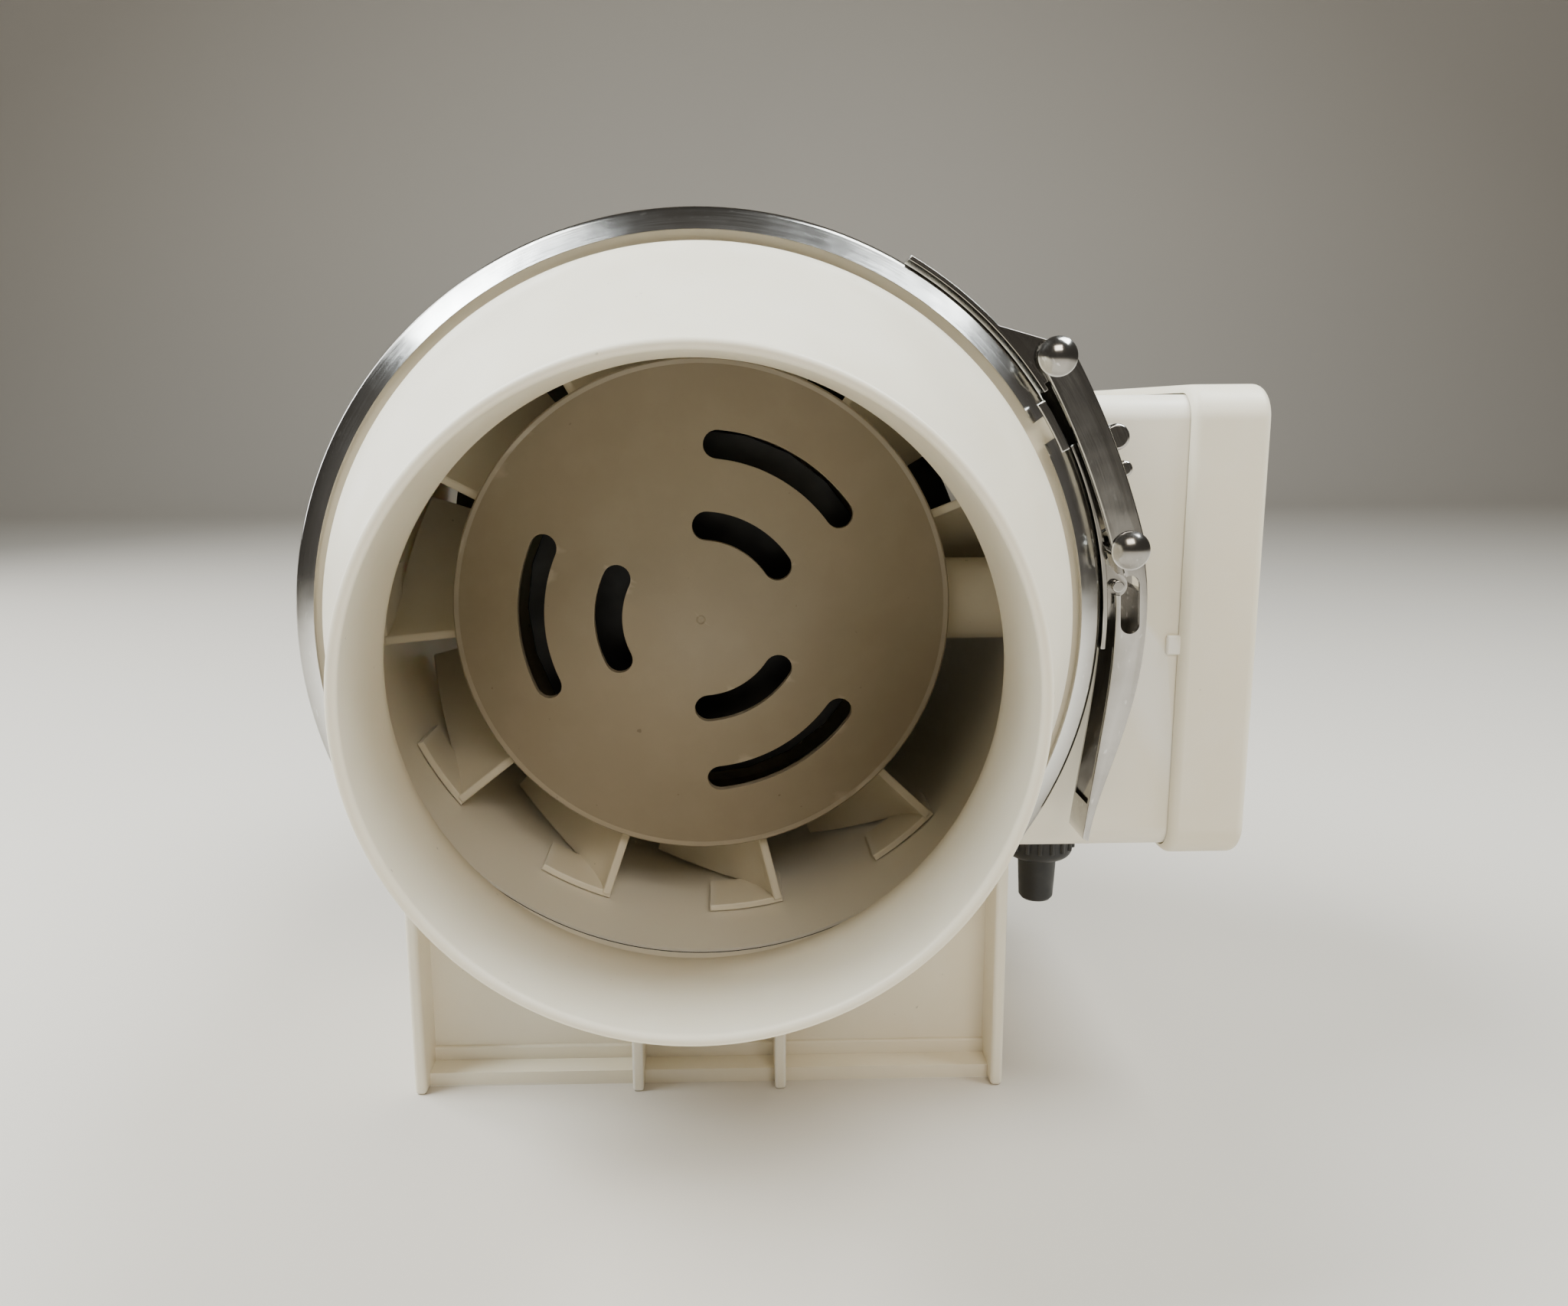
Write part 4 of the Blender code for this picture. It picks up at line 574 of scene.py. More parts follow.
def make_hub_cover():
    """The domed cover over the motor, with its slots and the small mark of its moulding gate."""
    edge = HUB_FRONT_Y - FIT
    rise = edge - COVER_TIP_Y
    ball = (HUB_R**2 + rise**2) / (2 * rise)
    count = 36

    def dome(radius):
        return edge - (math.sqrt(ball**2 - radius**2) - (ball - rise))

    radii = [(HUB_R - 1.2 * MM) * i / count for i in range(count + 1)]
    gate = 0.9 * MM
    outer = [(0, dome(0) + 0.25 * MM), (gate * 0.7, dome(0) + 0.25 * MM), (gate, dome(gate))]
    outer += [(r, dome(r)) for r in radii if r > 1.2 * gate]
    outer += [(HUB_R - 0.35 * MM, edge - 0.75 * MM), (HUB_R, edge - 0.3 * MM), (HUB_R, edge)]
    skirt = HUB_R - HUB_WALL - FIT
    inside = [(skirt, edge), (skirt, COVER_BACK_Y), (skirt - HUB_WALL, COVER_BACK_Y)]
    inside += [(r, dome(r) + HUB_WALL) for r in reversed(radii[:-3])]
    cover = turned(outer + inside, closed=False)
    for group in range(SLOT_GROUPS):
        centre_angle = 180.0 + 360.0 * group / SLOT_GROUPS
        for radius, half in SLOT_RINGS:
            a, b = centre_angle - half, centre_angle + half
            outline = arc((0, 0), radius + SLOT_WIDTH / 2, a, b, 26)
            outline += arc(polar(radius, b), SLOT_WIDTH / 2, b, b + 180, 14)[1:-1]
            outline += arc((0, 0), radius - SLOT_WIDTH / 2, b, a, 26)
            outline += arc(polar(radius, a), SLOT_WIDTH / 2, a + 180, a + 360, 14)[1:-1]
            cut(cover, plate(outline, COVER_TIP_Y - 5 * MM, edge - 0.5 * MM))
    # The cover takes the darker brown copy of the ivory plastic: painted shade for the dim inside of the
    # duct.
    show(cover, "hub_cover", "hub_plastic", bevel=0.25 * MM, segments=2)


def impeller_hub_r(share):
    """The hub cone's outer radius from its wide end (0, behind the vanes) to its nose (1)."""
    turn = math.radians(NOSE_TURN)
    return HUB_R - (HUB_R - IMPELLER_NOSE_R) * (1 - math.cos(turn * share)) / (1 - math.cos(turn))


def make_impeller():
    front, back = IMPELLER_FRONT_Y, IMPELLER_BACK_Y
    length = back - front
    rows, columns = 21, 9
    shares = [i / 24 for i in range(25)]
    bore = SHAFT_R + FIT
    sleeve = bore + IMPELLER_WALL
    outer = [(impeller_hub_r(s), front + length * s) for s in shares]
    profile = outer + [(bore, back), (bore, front + 4 * MM), (sleeve, front + 4 * MM)]
    profile += [(sleeve, back - IMPELLER_WALL), (impeller_hub_r(1) - MM, back - IMPELLER_WALL)]
    profile += [(impeller_hub_r(s) - IMPELLER_WALL, front + length * s) for s in reversed(shares[:-1])]
    impeller = turned(profile, STEPS_MEDIUM)
    tip_r = CASING_BORE_R - BLADE_RUNNING_GAP
    blades = []
    for number in range(BLADE_COUNT):
        grid = []
        for row in range(rows):
            share = BLADE_SPAN[0] + (BLADE_SPAN[1] - BLADE_SPAN[0]) * row / (rows - 1)
            angle = 360.0 * number / BLADE_COUNT + BLADE_SWEEP * share**0.85
            hub = impeller_hub_r(share) - IMPELLER_WALL / 2
            line = []
            for column in range(columns):
                out = column / (columns - 1)
                x, z = polar(hub + (tip_r - hub) * out, angle - BLADE_LEAN * out)
                line.append((x, front + length * share, AXIS_HEIGHT + z))
            grid.append(line)
        blades.append(sheet(grid, BLADE_THICKNESS, 0.4 * MM, 2))
    show(join(impeller, joined(blades)), "impeller", "black_plastic")


# ---- V-band clamps and latches


def band_profile(y):
    """The V of the band: a crown with rounded shoulders and two flanks that end in a rolled edge."""
    flat, edge = BAND_FLAT_WIDTH / 2, BAND_WIDTH / 2
    foot = BAND_R - BAND_FLANK
    t = BAND_THICKNESS
    turn = 1.6 * MM
    lift = 0.35 * MM
    half = [(BAND_R - lift * (i / 4) ** 2, (flat - turn) * i / 4) for i in range(5)]
    half += arc((BAND_R - lift - turn, flat - turn), turn, 0, 62, 7)[1:]
    half += [(foot, edge)]
    outer = [(r, y - across) for r, across in reversed(half)] + [(r, y + across) for r, across in half[1:]]
    inside = [(r - t, across) for r, across in half[:5]]
    inside += arc((BAND_R - lift - turn, flat - turn), turn - t, 0, 62, 7)[1:]
    inside += [(foot, edge - t)]
    inner = [(r, y + across) for r, across in reversed(inside)]
    return outer + inner + [(r, y - across) for r, across in inside[1:]]


def beside(start, end, bow, share, offset):
    """A point at an offset from the bowed line between two (x, z) points."""
    (x, z), (x_end, z_end) = start, end
    length = math.hypot(x_end - x, z_end - z)
    ux, uz = (x_end - x) / length, (z_end - z) / length
    rise = bow * 4 * share * (1 - share) + offset
    return (x + ux * length * share - uz * rise, z + uz * length * share + ux * rise)


def capsule(start, end, half_width, y, half, bow=0.0, edge=0.0):
    """A bar with round ends from one (x, z) point to another, bowed by a height."""
    facing = bearing((end[0] - start[0], end[1] - start[1]))
    shares = [i / 20 for i in range(1, 20)]
    outline = arc(end, half_width, facing - 90, facing + 90, 18)
    outline += [beside(start, end, bow, s, half_width) for s in reversed(shares)]
    outline += arc(start, half_width, facing + 90, facing + 270, 18)
    outline += [beside(start, end, bow, s, -half_width) for s in shares]
    return slab(outline, y, half, edge)


def make_rivet(node, y):
    """A pin with a domed head on the outlet side and a flat head on the other."""
    place = middle(node)
    low, high = y - LATCH_WIDTH / 2 - FIT, y + LATCH_WIDTH / 2 + FIT
    r, h = RIVET_HEAD_R, RIVET_HEAD_HEIGHT
    ball = (r**2 + h**2) / (2 * h)
    profile = [(r * i / 12, low - h + ball - math.sqrt(ball**2 - (r * i / 12) ** 2)) for i in range(12)]
    profile += [(r, low - 0.12 * MM), (r, low), (RIVET_R, low), (RIVET_R, high), (r * 0.8, high)]
    profile += [(r * 0.8, high + h * 0.4), (r * 0.72, high + h * 0.5), (0, high + h * 0.5)]
    show(turned(profile, STEPS_SMALL, False, (place.x, 0, place.z)), node, "stainless")


def make_clamp(end, y):
    a = (PIVOT_A.x, PIVOT_A.z - AXIS_HEIGHT)
    b = (PIVOT_B.x, PIVOT_B.z - AXIS_HEIGHT)
    angle_a = bearing(a)
    angle_b = bearing(b)
    half = LATCH_WIDTH / 2
    ear_half = LEVER_WIDTH / 2
    drill_r = RIVET_R + FIT
    gap_half = math.degrees(BAND_GAP / 2 / BAND_R)

    band = turned(band_profile(y))
    middle_angle = BAND_GAP_ANGLE
    wedge = sector(CASING_R - 3 * MM, BAND_R + 2 * MM, middle_angle - gap_half, middle_angle + gap_half, 5)
    show(cut(band, slab(wedge, y, BAND_WIDTH)), f"{end}_band", "stainless")

    # The strap on the upper end of the band, with two ears round pivot A and its spot welds.
    strap_line = sector(BAND_R + FIT, STRAP_R, angle_a - 3.0, STRAP_START_ANGLE, 40)
    strap = slab(strap_line, y, ear_half, 0.15 * MM)
    ear_line = arc((0, 0), BAND_R + 1.5 * FIT, angle_a + 9, angle_a - 2, 14)
    ear_line += arc(a, LINK_HALF_WIDTH, angle_a - 100, angle_a + 75, 28)
    for side in (-1, 1):
        low, high = sorted((y + side * ear_half, y + side * (ear_half - SHEET)))
        join(strap, plate(ear_line, low, high, 0.1 * MM))
    cut(strap, slab(arc(a, drill_r, 0, 350, 24), y, half + MM))
    for degrees in WELD_ANGLES:
        x, z = polar(STRAP_R - 0.3 * MM, degrees)
        weld_x, weld_z = polar(STRAP_R + 0.35 * MM, degrees)
        weld = cylinder(1.1 * MM, (x, y, AXIS_HEIGHT + z), (weld_x, y, AXIS_HEIGHT + weld_z), 24)
        join(strap, rounded(weld, 0.3 * MM, 3))
    show(strap, f"{end}_clamp_strap", "stainless")

    # The tongue under the gap of the band.
    reach = 2.2 * gap_half
    front_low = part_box(f"{end}_band_tongue")[0].y
    tongue_line = sector(BAND_R - 2.6 * MM, BAND_R - MM, middle_angle - reach, middle_angle + reach, 16)
    tongue = plate(tongue_line, front_low, front_low + BAND_THICKNESS, 0.25 * MM)
    show(tongue, f"{end}_band_tongue", "stainless")

    # The link from pivot A to pivot B: a channel with its web outside.
    link = capsule(b, a, LINK_HALF_WIDTH, y, half, -LINK_BOW, 0.35 * MM)
    inset = 1.0 * MM
    outward = polar(SHEET + inset, (angle_a + angle_b) / 2)
    b_in, a_in = (b[0] - outward[0], b[1] - outward[1]), (a[0] - outward[0], a[1] - outward[1])
    cut(link, capsule(b_in, a_in, LINK_HALF_WIDTH + inset, y, half - SHEET, -LINK_BOW))
    for place in (a, b):
        clear = slab(arc(place, LINK_HALF_WIDTH + 1.2 * MM, 0, 350, 36), y, half - SHEET)
        hole = slab(arc(place, drill_r, 0, 350, 24), y, half + MM)
        cut(link, clear, hole)
    show(link, f"{end}_clamp_link", "stainless")

    make_lever(end, y, b, angle_b)
    make_hook(end, y)
    make_catch(end, y, a, b)
    make_rivet(f"{end}_rivet_a", y)
    make_rivet(f"{end}_rivet_b", y)


def make_hook(end, y):
    """The bracket on the lower end of the band, with the pin that the lever pulls on."""
    pin = polar(*HOOK_PIN)
    half = LEVER_WIDTH / 2 - SHEET - 2 * FIT
    bracket_line = sector(BAND_R + FIT, STRAP_R, HOOK_PIN_ANGLE - 9, BAND_GAP_ANGLE - 4, 36)
    bracket = slab(bracket_line, y, half, 0.15 * MM)
    rise = arc((0, 0), BAND_R + 1.5 * FIT, HOOK_PIN_ANGLE + 4, HOOK_PIN_ANGLE - 4, 8)
    rise += arc(pin, 2 * HOOK_PIN_R, HOOK_PIN_ANGLE - 80, HOOK_PIN_ANGLE + 80, 18)
    join(bracket, slab(rise, y, half - FIT))
    ends = [(pin[0], y + side * LEVER_WIDTH / 2, AXIS_HEIGHT + pin[1]) for side in (-1, 1)]
    join(bracket, rounded(cylinder(HOOK_PIN_R, *ends), 0.2 * MM, 2))
    show(bracket, f"{end}_hook_bracket", "stainless")


def make_catch(end, y, a, b):
    """The safety catch: a thin spring strip along the web of the link, with a stud and a bead."""
    near = LINK_HALF_WIDTH + FIT
    far = near + CATCH_THICKNESS
    low, high = CATCH_SPAN
    shares = [low + (high - low) * i / 24 for i in range(25)]

    def web(share, offset):
        return beside(b, a, -LINK_BOW, share, -offset)

    line = [web(s, far) for s in shares] + [web(s, near) for s in reversed(shares)]
    catch = slab(line, y, 2.2 * MM, 0.1 * MM)
    for share, lift, radius in CATCH_STUDS:
        x, z = web(share, near + lift)
        ends = [(x, y + side * 1.9 * MM, AXIS_HEIGHT + z) for side in (-1, 1)]
        join(catch, rounded(cylinder(radius, *ends), 0.6 * MM, 4))
    show(catch, f"{end}_safety_catch", "stainless")


def make_lever(end, y, b, angle_b):
    """The lever: a channel from pivot B down along the band to a curled tip, hooked over the pin."""
    pin = polar(*HOOK_PIN)
    reach_b = math.hypot(*b)
    half = LEVER_WIDTH / 2
    stop = STRAP_R + 2.5 * FIT
    lower = LEVER_TIP[1]
    count = 40
    back, front = reach_b + LINK_HALF_WIDTH, stop + FIT
    rise = LEVER_TIP[0] + LEVER_TIP_HALF - back + LEVER_SAG
    lift = LEVER_TIP[0] - LEVER_TIP_HALF - front
    outer, inner = [], []
    for i in range(count):
        share = i / (count - 1)
        angle = angle_b - 4.5 + (lower - angle_b + 4.5) * share
        outer.append(polar(back - LEVER_SAG * share**2 + rise * share**6, angle))
        inner.append(polar(front + lift * share**3.2, angle))
    top = arc(b, LINK_HALF_WIDTH, angle_b + 150, angle_b - 15, 26)
    lever = slab(top + outer + list(reversed(inner)), y, half, 0.3 * MM)
    web_outer = [polar(math.hypot(*p) - SHEET, bearing(p)) for p in outer]
    web_inner = [polar(math.hypot(*p) - 3 * MM, bearing(p)) for p in inner]
    pocket = web_outer[:-4] + list(reversed(web_inner[:-8]))
    room = slab(pocket, y, half - SHEET)
    open_top = arc(b, LINK_HALF_WIDTH + 5.6 * MM, 0, 350, 36)
    cut(lever, join(room, slab(open_top, y, half - SHEET)))
    cut(lever, slab(arc(b, RIVET_R + FIT, 0, 350, 24), y, half + MM))
    slot_angle = angle_b - 7.4
    slot_middle = polar(reach_b - 0.2 * MM, slot_angle)
    slot = stadium(slot_middle, LEVER_SLOT_LENGTH, LEVER_SLOT_WIDTH, slot_angle + 90)
    cut(lever, plate(slot, y - half - MM, y - half + SHEET + MM))
    reach = HOOK_PIN_R + 2 * FIT
    notch = arc(pin, reach, HOOK_PIN_ANGLE - 100, HOOK_PIN_ANGLE + 20, 16)
    notch += [polar(HOOK_PIN[0] + 0.6 * MM, HOOK_PIN_ANGLE + 6), polar(BAND_R - MM, HOOK_PIN_ANGLE + 8)]
    notch += [polar(BAND_R - MM, HOOK_PIN_ANGLE - 0.8)]
    cut(lever, slab(notch, y, half + MM))
    show(lever, f"{end}_clamp_lever", "stainless")


# ---- foot


def make_foot():
    """A base plate, two side walls, front and back panels set in from the edges, and ribs."""
    half_x, half_y = FOOT_HALF_WIDTH, FOOT_HALF_LENGTH
    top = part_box("foot")[1].z
    plate_y = half_y - FOOT_PLATE_SETBACK
    panel_y = half_y - FOOT_PANEL_SETBACK
    base_x = half_x - FOOT_WALL + FIT
    foot = box((-base_x, -plate_y, 0), (base_x, plate_y, FOOT_BASE))
    for side in (-1, 1):
        wall = sorted((side * (half_x - FOOT_WALL), side * half_x))
        join(foot, box((wall[0], -half_y, 0), (wall[1], half_y, top), 0.9 * MM, 4))
        panel = sorted((side * panel_y, side * (panel_y - FOOT_WALL)))
        join(foot, box((-half_x + MM, panel[0], FOOT_BASE / 2), (half_x - MM, panel[1], top - MM)))
        ledge = sorted((side * (panel_y - MM), side * (panel_y + 0.9 * MM)))
        join(foot, box((-half_x + MM, ledge[0], FOOT_BASE / 2), (half_x - MM, ledge[1], 2 * FOOT_BASE),
                       0.5 * MM))
        for rib_side in (-1, 1):
            x = rib_side * FOOT_RIB_OFFSET
            rib = sorted((side * half_y, side * (panel_y - MM)))
            rib_top = AXIS_HEIGHT - CASING_R + 6 * MM
            join(foot, box((x - FOOT_RIB_WIDTH / 2, rib[0], 0),
                           (x + FOOT_RIB_WIDTH / 2, rib[1], rib_top), 0.7 * MM))
    saddle = axis_cylinder(SADDLE_R, 2 * half_y)
    room = box((BOX_LOW.x - FIT, BOX_LOW.y, BOX_LOW.z - FIT), (COVER_HIGH.x, BOX_HIGH.y, AXIS_HEIGHT))
    cut(foot, saddle, room)
    for side in (-1, 1):
        x = side * FOOT_HOLE_SPACING / 2
        cut(foot, cylinder(FOOT_HOLE_R, (x, 0, -MM), (x, 0, FOOT_BASE + MM)))
    for number in range(1, 5):
        place = middle(f"foot_screw_{number}")
        way = 1 if place.x > 0 else -1
        cut(foot, bar(SCREW_R + FIT, way * (half_x - 3 * FOOT_WALL), way * (half_x + MM), place.y, place.z))
    show(foot, "foot", "ivory_plastic")


def make_screws():
    """Pan-head screws, each with a cross recess and a thread, in the places of their nodes."""
    r, h = SCREW_HEAD_R, SCREW_HEAD_HEIGHT
    kinds = (("foot", 4), ("cover", 4), ("motor", 2))
    for name in [f"{kind}_screw_{number + 1}" for kind, count in kinds for number in range(count)]:
        low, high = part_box(name)
        seat = (low + high) / 2
        axis, way = (1, 1) if kinds[-1][0] in name else (0, 1 if seat.x > 0 else -1)
        outward = Vector()
        outward[axis] = way
        seat[axis] = (high if way > 0 else low)[axis] - way * h
        shank = (high - low)[axis] - h
        turns = [math.radians(9.0 * i) for i in range(10)]
        profile = [(r * math.sin(t), -h * math.cos(t) ** 0.6) for t in turns] + [(r, 0), (SCREW_R, 0)]
        for turn in range(int((shank - 2 * MM) / SCREW_PITCH)):
            y = MM + turn * SCREW_PITCH
            profile += [(SCREW_R, y), (SCREW_R - 0.25 * MM, y + SCREW_PITCH / 2)]
        profile += [(SCREW_R * 0.4, shank), (0, shank)]
        blank = turned(profile, STEPS_SMALL, closed=False)
        blank.location = seat
        blank.rotation_euler = outward.to_track_quat("Z", "Y").to_euler()
        for x, y in ((0.5 * MM, r * 0.6), (r * 0.6, 0.5 * MM)):
            arm = box((-x, -y, h * 0.45), (x, y, h + MM))
            arm.parent = blank
            cut(blank, arm)
        show(blank, name, "zinc_steel")


# ---- terminal box and gland


def box_ring(x_low, x_high, grow):
    """A block with rounded long edges, over the box's outline made larger by grow."""
    low = (x_low, BOX_LOW.y - grow, BOX_LOW.z - grow)
    high = (x_high, BOX_HIGH.y + grow, BOX_HIGH.z + grow)
    made = box(low, high)
    rounding = made.modifiers.new("corners", "BEVEL")
    rounding.width = BOX_CORNER_R + grow
    rounding.segments = 12
    rounding.limit_method = "WEIGHT"
    weights = made.data.attributes.new("bevel_weight_edge", "FLOAT", "EDGE")
    for edge in made.data.edges:
        ends = [made.data.vertices[v].co for v in edge.vertices]
        weights.data[edge.index].value = 1.0 if abs(ends[0].x - ends[1].x) > FIT else 0.0
    return made


def post_places():
    """(y, z) of the posts that take the cover's screws."""
    ys = (BOX_LOW.y + POST_INSET, BOX_HIGH.y - POST_INSET)
    return [(y, z) for y in ys for z in (BOX_LOW.z + POST_INSET, BOX_HIGH.z - POST_INSET)]


def make_terminal_box():
    seam, outer, root = BOX_HIGH.x, COVER_HIGH.x, BOX_LOW.x
    base = box_ring(root, seam, 0)
    cut(base, axis_cylinder(SADDLE_R))
    hollow = box_ring(root, seam + 2 * MM, -BOX_WALL)
    cut(hollow, axis_cylinder(SADDLE_R + BOX_WALL))
    cut(base, hollow)
    for number, (y, z) in enumerate(post_places(), 1):
        post = bar(POST_R, root + 8 * MM, seam, y, z)
        join(base, cut(post, axis_cylinder(SADDLE_R + BOX_WALL / 2)))
        drill_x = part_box(f"cover_screw_{number}")[0].x - MM
        cut(base, bar(SCREW_R + FIT, drill_x, seam + MM, y, z))
    for side, y in ((-1, BOX_LOW.y), (1, BOX_HIGH.y)):
        snap = box((COVER_LOW.x - 2.4 * MM, y - 0.9 * MM, AXIS_HEIGHT - 9 * MM),
                   (COVER_LOW.x + MM, y + 0.9 * MM, AXIS_HEIGHT - 5 * MM), 0.5 * MM)
        join(base, snap)
    lead_hole = conduit_bar(WIRE_BORE_R, CASING_R - 2 * MM, CASING_R + 3 * BOX_WALL)
    gland_hole = cylinder(GLAND_THREAD_R + FIT, (GLAND_X, 0, BOX_LOW.z - MM),
                          (GLAND_X, 0, BOX_LOW.z + BOX_WALL + MM))
    show(cut(base, lead_hole, gland_hole), "terminal_box_base", "ivory_plastic")

    gasket_low, gasket_high = (corner.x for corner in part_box("box_gasket"))
    gasket = box_ring(gasket_low, gasket_high, -FIT)
    cut(gasket, box_ring(gasket_low - MM, gasket_high + MM, -BOX_WALL))
    show(gasket, "box_gasket", "seal_rubber")

    grow = COVER_HIGH.y - BOX_HIGH.y
    cover = box_ring(seam - COVER_OVERLAP, outer, grow)
    rounded(cover, COVER_RIM_ROUND, 6, 40)
    seat_x = gasket_high + FIT
    cut(cover, box_ring(seam - COVER_OVERLAP - MM, seat_x, FIT))
    cut(cover, box_ring(seat_x - MM, outer - BOX_WALL, -BOX_WALL))
    for y, z in post_places():
        join(cover, bar(POST_R, seam + FIT, outer - BOX_WALL / 2, y, z))
        sink = outer - SCREW_HEAD_HEIGHT - 2 * FIT
        cut(cover, bar(SCREW_R + FIT, seam - MM, outer + MM, y, z))
        cut(cover, bar(SCREW_HEAD_R + FIT, sink, outer + MM, y, z))
    show(cover, "terminal_box_cover", "ivory_plastic")


def upright(profile, steps=STEPS_MEDIUM):
    """A solid turned about the gland's axis, from (radius, depth below the box) points."""
    made = turned(profile, steps)
    made.location = (GLAND_X, 0, BOX_LOW.z)
    made.rotation_euler = (0, 0, 0)
    return made


def gland_cylinder(radius, rise, depth, steps):
    """A cylinder on the gland's axis, from above the underside of the box to below it."""
    return cylinder(radius, (GLAND_X, 0, BOX_LOW.z + rise), (GLAND_X, 0, BOX_LOW.z - depth), steps)


def make_gland():
    """The empty cable gland under the box: a hexagonal body and a ribbed cap with a soft throat."""
    top = GLAND_HEX_HEIGHT
    inside = -(BOX_WALL + 6 * MM)
    neck = GLAND_THREAD_R + MM
    bore = GLAND_BORE_R + MM
    body = [(GLAND_THREAD_R, inside), (GLAND_THREAD_R, FIT), (neck, FIT), (neck, top + 8 * MM)]
    body += [(bore, top + 8 * MM), (bore, inside)]
    hexagon = rounded(gland_cylinder(GLAND_HEX_R, -FIT, top, 6), 0.5 * MM)
    cut(hexagon, gland_cylinder(neck - 0.2 * MM, MM, top + MM, STEPS_MEDIUM))
    show(join(upright(body), hexagon), "gland_body", "black_plastic")
    low = top + FIT
    high = low + GLAND_CAP_HEIGHT
    tail = BOX_LOW.z - GLAND_TIP_Z
    wall = GLAND_HEX_R * 0.9
    throat = GLAND_BORE_R - MM
    cap = [(wall, low), (wall, high - 3 * MM)] + arc((wall - 2.4 * MM, high - 3 * MM), 2.4 * MM, 10, 80, 7)
    cap += [(GLAND_BORE_R + 1.4 * MM, high), (GLAND_BORE_R + 0.9 * MM, tail - 0.8 * MM)]
    cap += [(GLAND_BORE_R + 0.3 * MM, tail), (throat, tail), (throat, high - MM)]
    cap += [(neck + FIT, high - 3.5 * MM), (neck + FIT, low)]
    nut = upright(cap)
    ribs = []
    rib_count = 18
    for number in range(rib_count):
        x, y = polar(wall, 360.0 * number / rib_count)
        ends = [(GLAND_X + x, y, BOX_LOW.z - low - 0.5 * MM), (GLAND_X + x, y, BOX_LOW.z - high + 3.2 * MM)]
        ribs.append(rounded(cylinder(0.62 * MM, *ends, 12), 0.25 * MM, 2))
    show(join(nut, joined(ribs)), "gland_nut", "black_plastic")


# ---- pieces inside


def make_inside():
    """Fine copies of the pieces inside the hub and the terminal box and behind the impeller."""
    shown = [o.get("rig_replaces", []) for o in bpy.data.objects]
    done = {node for nodes in shown for node in nodes}
    for node, source in frame["nodes"].items():
        if node in done:
            continue
        mesh = source.data.copy()
        weld(mesh, 0.002 * MM, 0.5)
        show(add(mesh), node, INSIDE_FINISH.get(node, "zinc_steel"), bevel=0.2 * MM, segments=2)


INSIDE_FINISH = {
    # The motor shell and end shield are black: partly their own black paint, partly painted shade that keeps
    # the hub cover's slots dark.
    "motor_shell": "black_plastic",
    "motor_end_shield": "black_plastic",
    "stator_core": "lamination_steel",
    "rotor_core": "lamination_steel",
    "winding_outlet_end": "copper_winding",
    "winding_inlet_end": "copper_winding",
    "lead_live": "lead_brown",
    "lead_neutral": "lead_blue",
    "capacitor": "capacitor_white",
    "terminal_block": "black_plastic",
    "gland_locknut": "black_plastic",
}


# ---- materials


class Finish:
    """A material under construction: its nodes are added and linked in short calls."""

    def __init__(self, name, colour, roughness, metallic=0.0):
        MATERIALS[name] = material = bpy.data.materials.new(name)
        material.use_nodes = True
        self.tree = material.node_tree
        self.shader = self.tree.nodes["Principled BSDF"]
        self.fill(self.shader, {"Base Color": colour, "Roughness": roughness, "Metallic": metallic})
        self.place = self.tree.nodes.new("ShaderNodeTexCoord").outputs["Object"]

    def fill(self, node, inputs):
        """Gives each input of a node its number, its colour or the output of another node."""
        for key, value in inputs.items():
            if isinstance(value, bpy.types.NodeSocket):
                self.tree.links.new(value, node.inputs[key])
            else:
                node.inputs[key].default_value = (*value, 1.0) if isinstance(value, tuple) else value

    def node(self, kind, inputs, **settings):
        """Adds a node and returns its outputs."""
        made = self.tree.nodes.new("ShaderNode" + kind)
        for key, value in settings.items():
            setattr(made, key, value)
        self.fill(made, inputs)
        return made.outputs

    def noise(self, scale, detail, roughness=0.55, place=None):
        inputs = {"Scale": scale, "Detail": detail, "Roughness": roughness, "Vector": place or self.place}
        return self.node("TexNoise", inputs)["Fac"]

    def ramp(self, value, low, high, to_low=0.0, to_high=1.0):
        inputs = {"Value": value, "From Min": low, "From Max": high, "To Min": to_low, "To Max": to_high}
        return self.node("MapRange", inputs)["Result"]

    def mix(self, share, first, second):
        """Mixes two colours; 6, 7 and 2 are the node's sockets for colours."""
        return self.node("Mix", {0: share, 6: first, 7: second}, data_type="RGBA")[2]

    def math(self, operation, *values):
        return self.node("Math", dict(enumerate(values)), operation=operation)["Value"]

    def bump(self, height, strength, distance, normal=None):
        inputs = {"Strength": strength, "Distance": distance, "Height": height}
        if normal:
            inputs["Normal"] = normal
        return self.node("Bump", inputs)["Normal"]

    def edges(self, low, high):
        """Where the surface is convex and sharp, from 0 to 1."""
        return self.ramp(self.node("NewGeometry", {})["Pointiness"], low, high)

    def around_axis(self, along, across):
        """Coordinates round the fan's axis: stretched along the turn, fine across it."""
        parts = self.node("SeparateXYZ", {"Vector": self.place})
        x, y = parts["X"], parts["Y"]
        rise = self.math("SUBTRACT", parts["Z"], AXIS_HEIGHT)
        square = self.math("ADD", self.math("MULTIPLY", rise, rise), self.math("MULTIPLY", x, x))
        turn, reach = self.math("ARCTAN2", rise, x), self.math("SQRT", square)
        stretched = {key: self.math("MULTIPLY", part, by)
                     for key, part, by in (("X", turn, along), ("Y", y, across), ("Z", reach, across))}
        return self.node("CombineXYZ", stretched)["Vector"]

    def satin(self, scale, detail, low, high):
        """Roughness that wanders between two values."""
        self.roughness(self.ramp(self.noise(scale, detail), 0.3, 0.7, low, high))

    def grain(self, scale, detail, strength, distance, normal=None):
        """A fine bumpy surface."""
        self.normal(self.bump(self.noise(scale, detail), strength, distance, normal))

    def colour(self, output):
        self.fill(self.shader, {"Base Color": output})

    def roughness(self, output):
        self.fill(self.shader, {"Roughness": output})

    def normal(self, output):
        self.fill(self.shader, {"Normal": output})


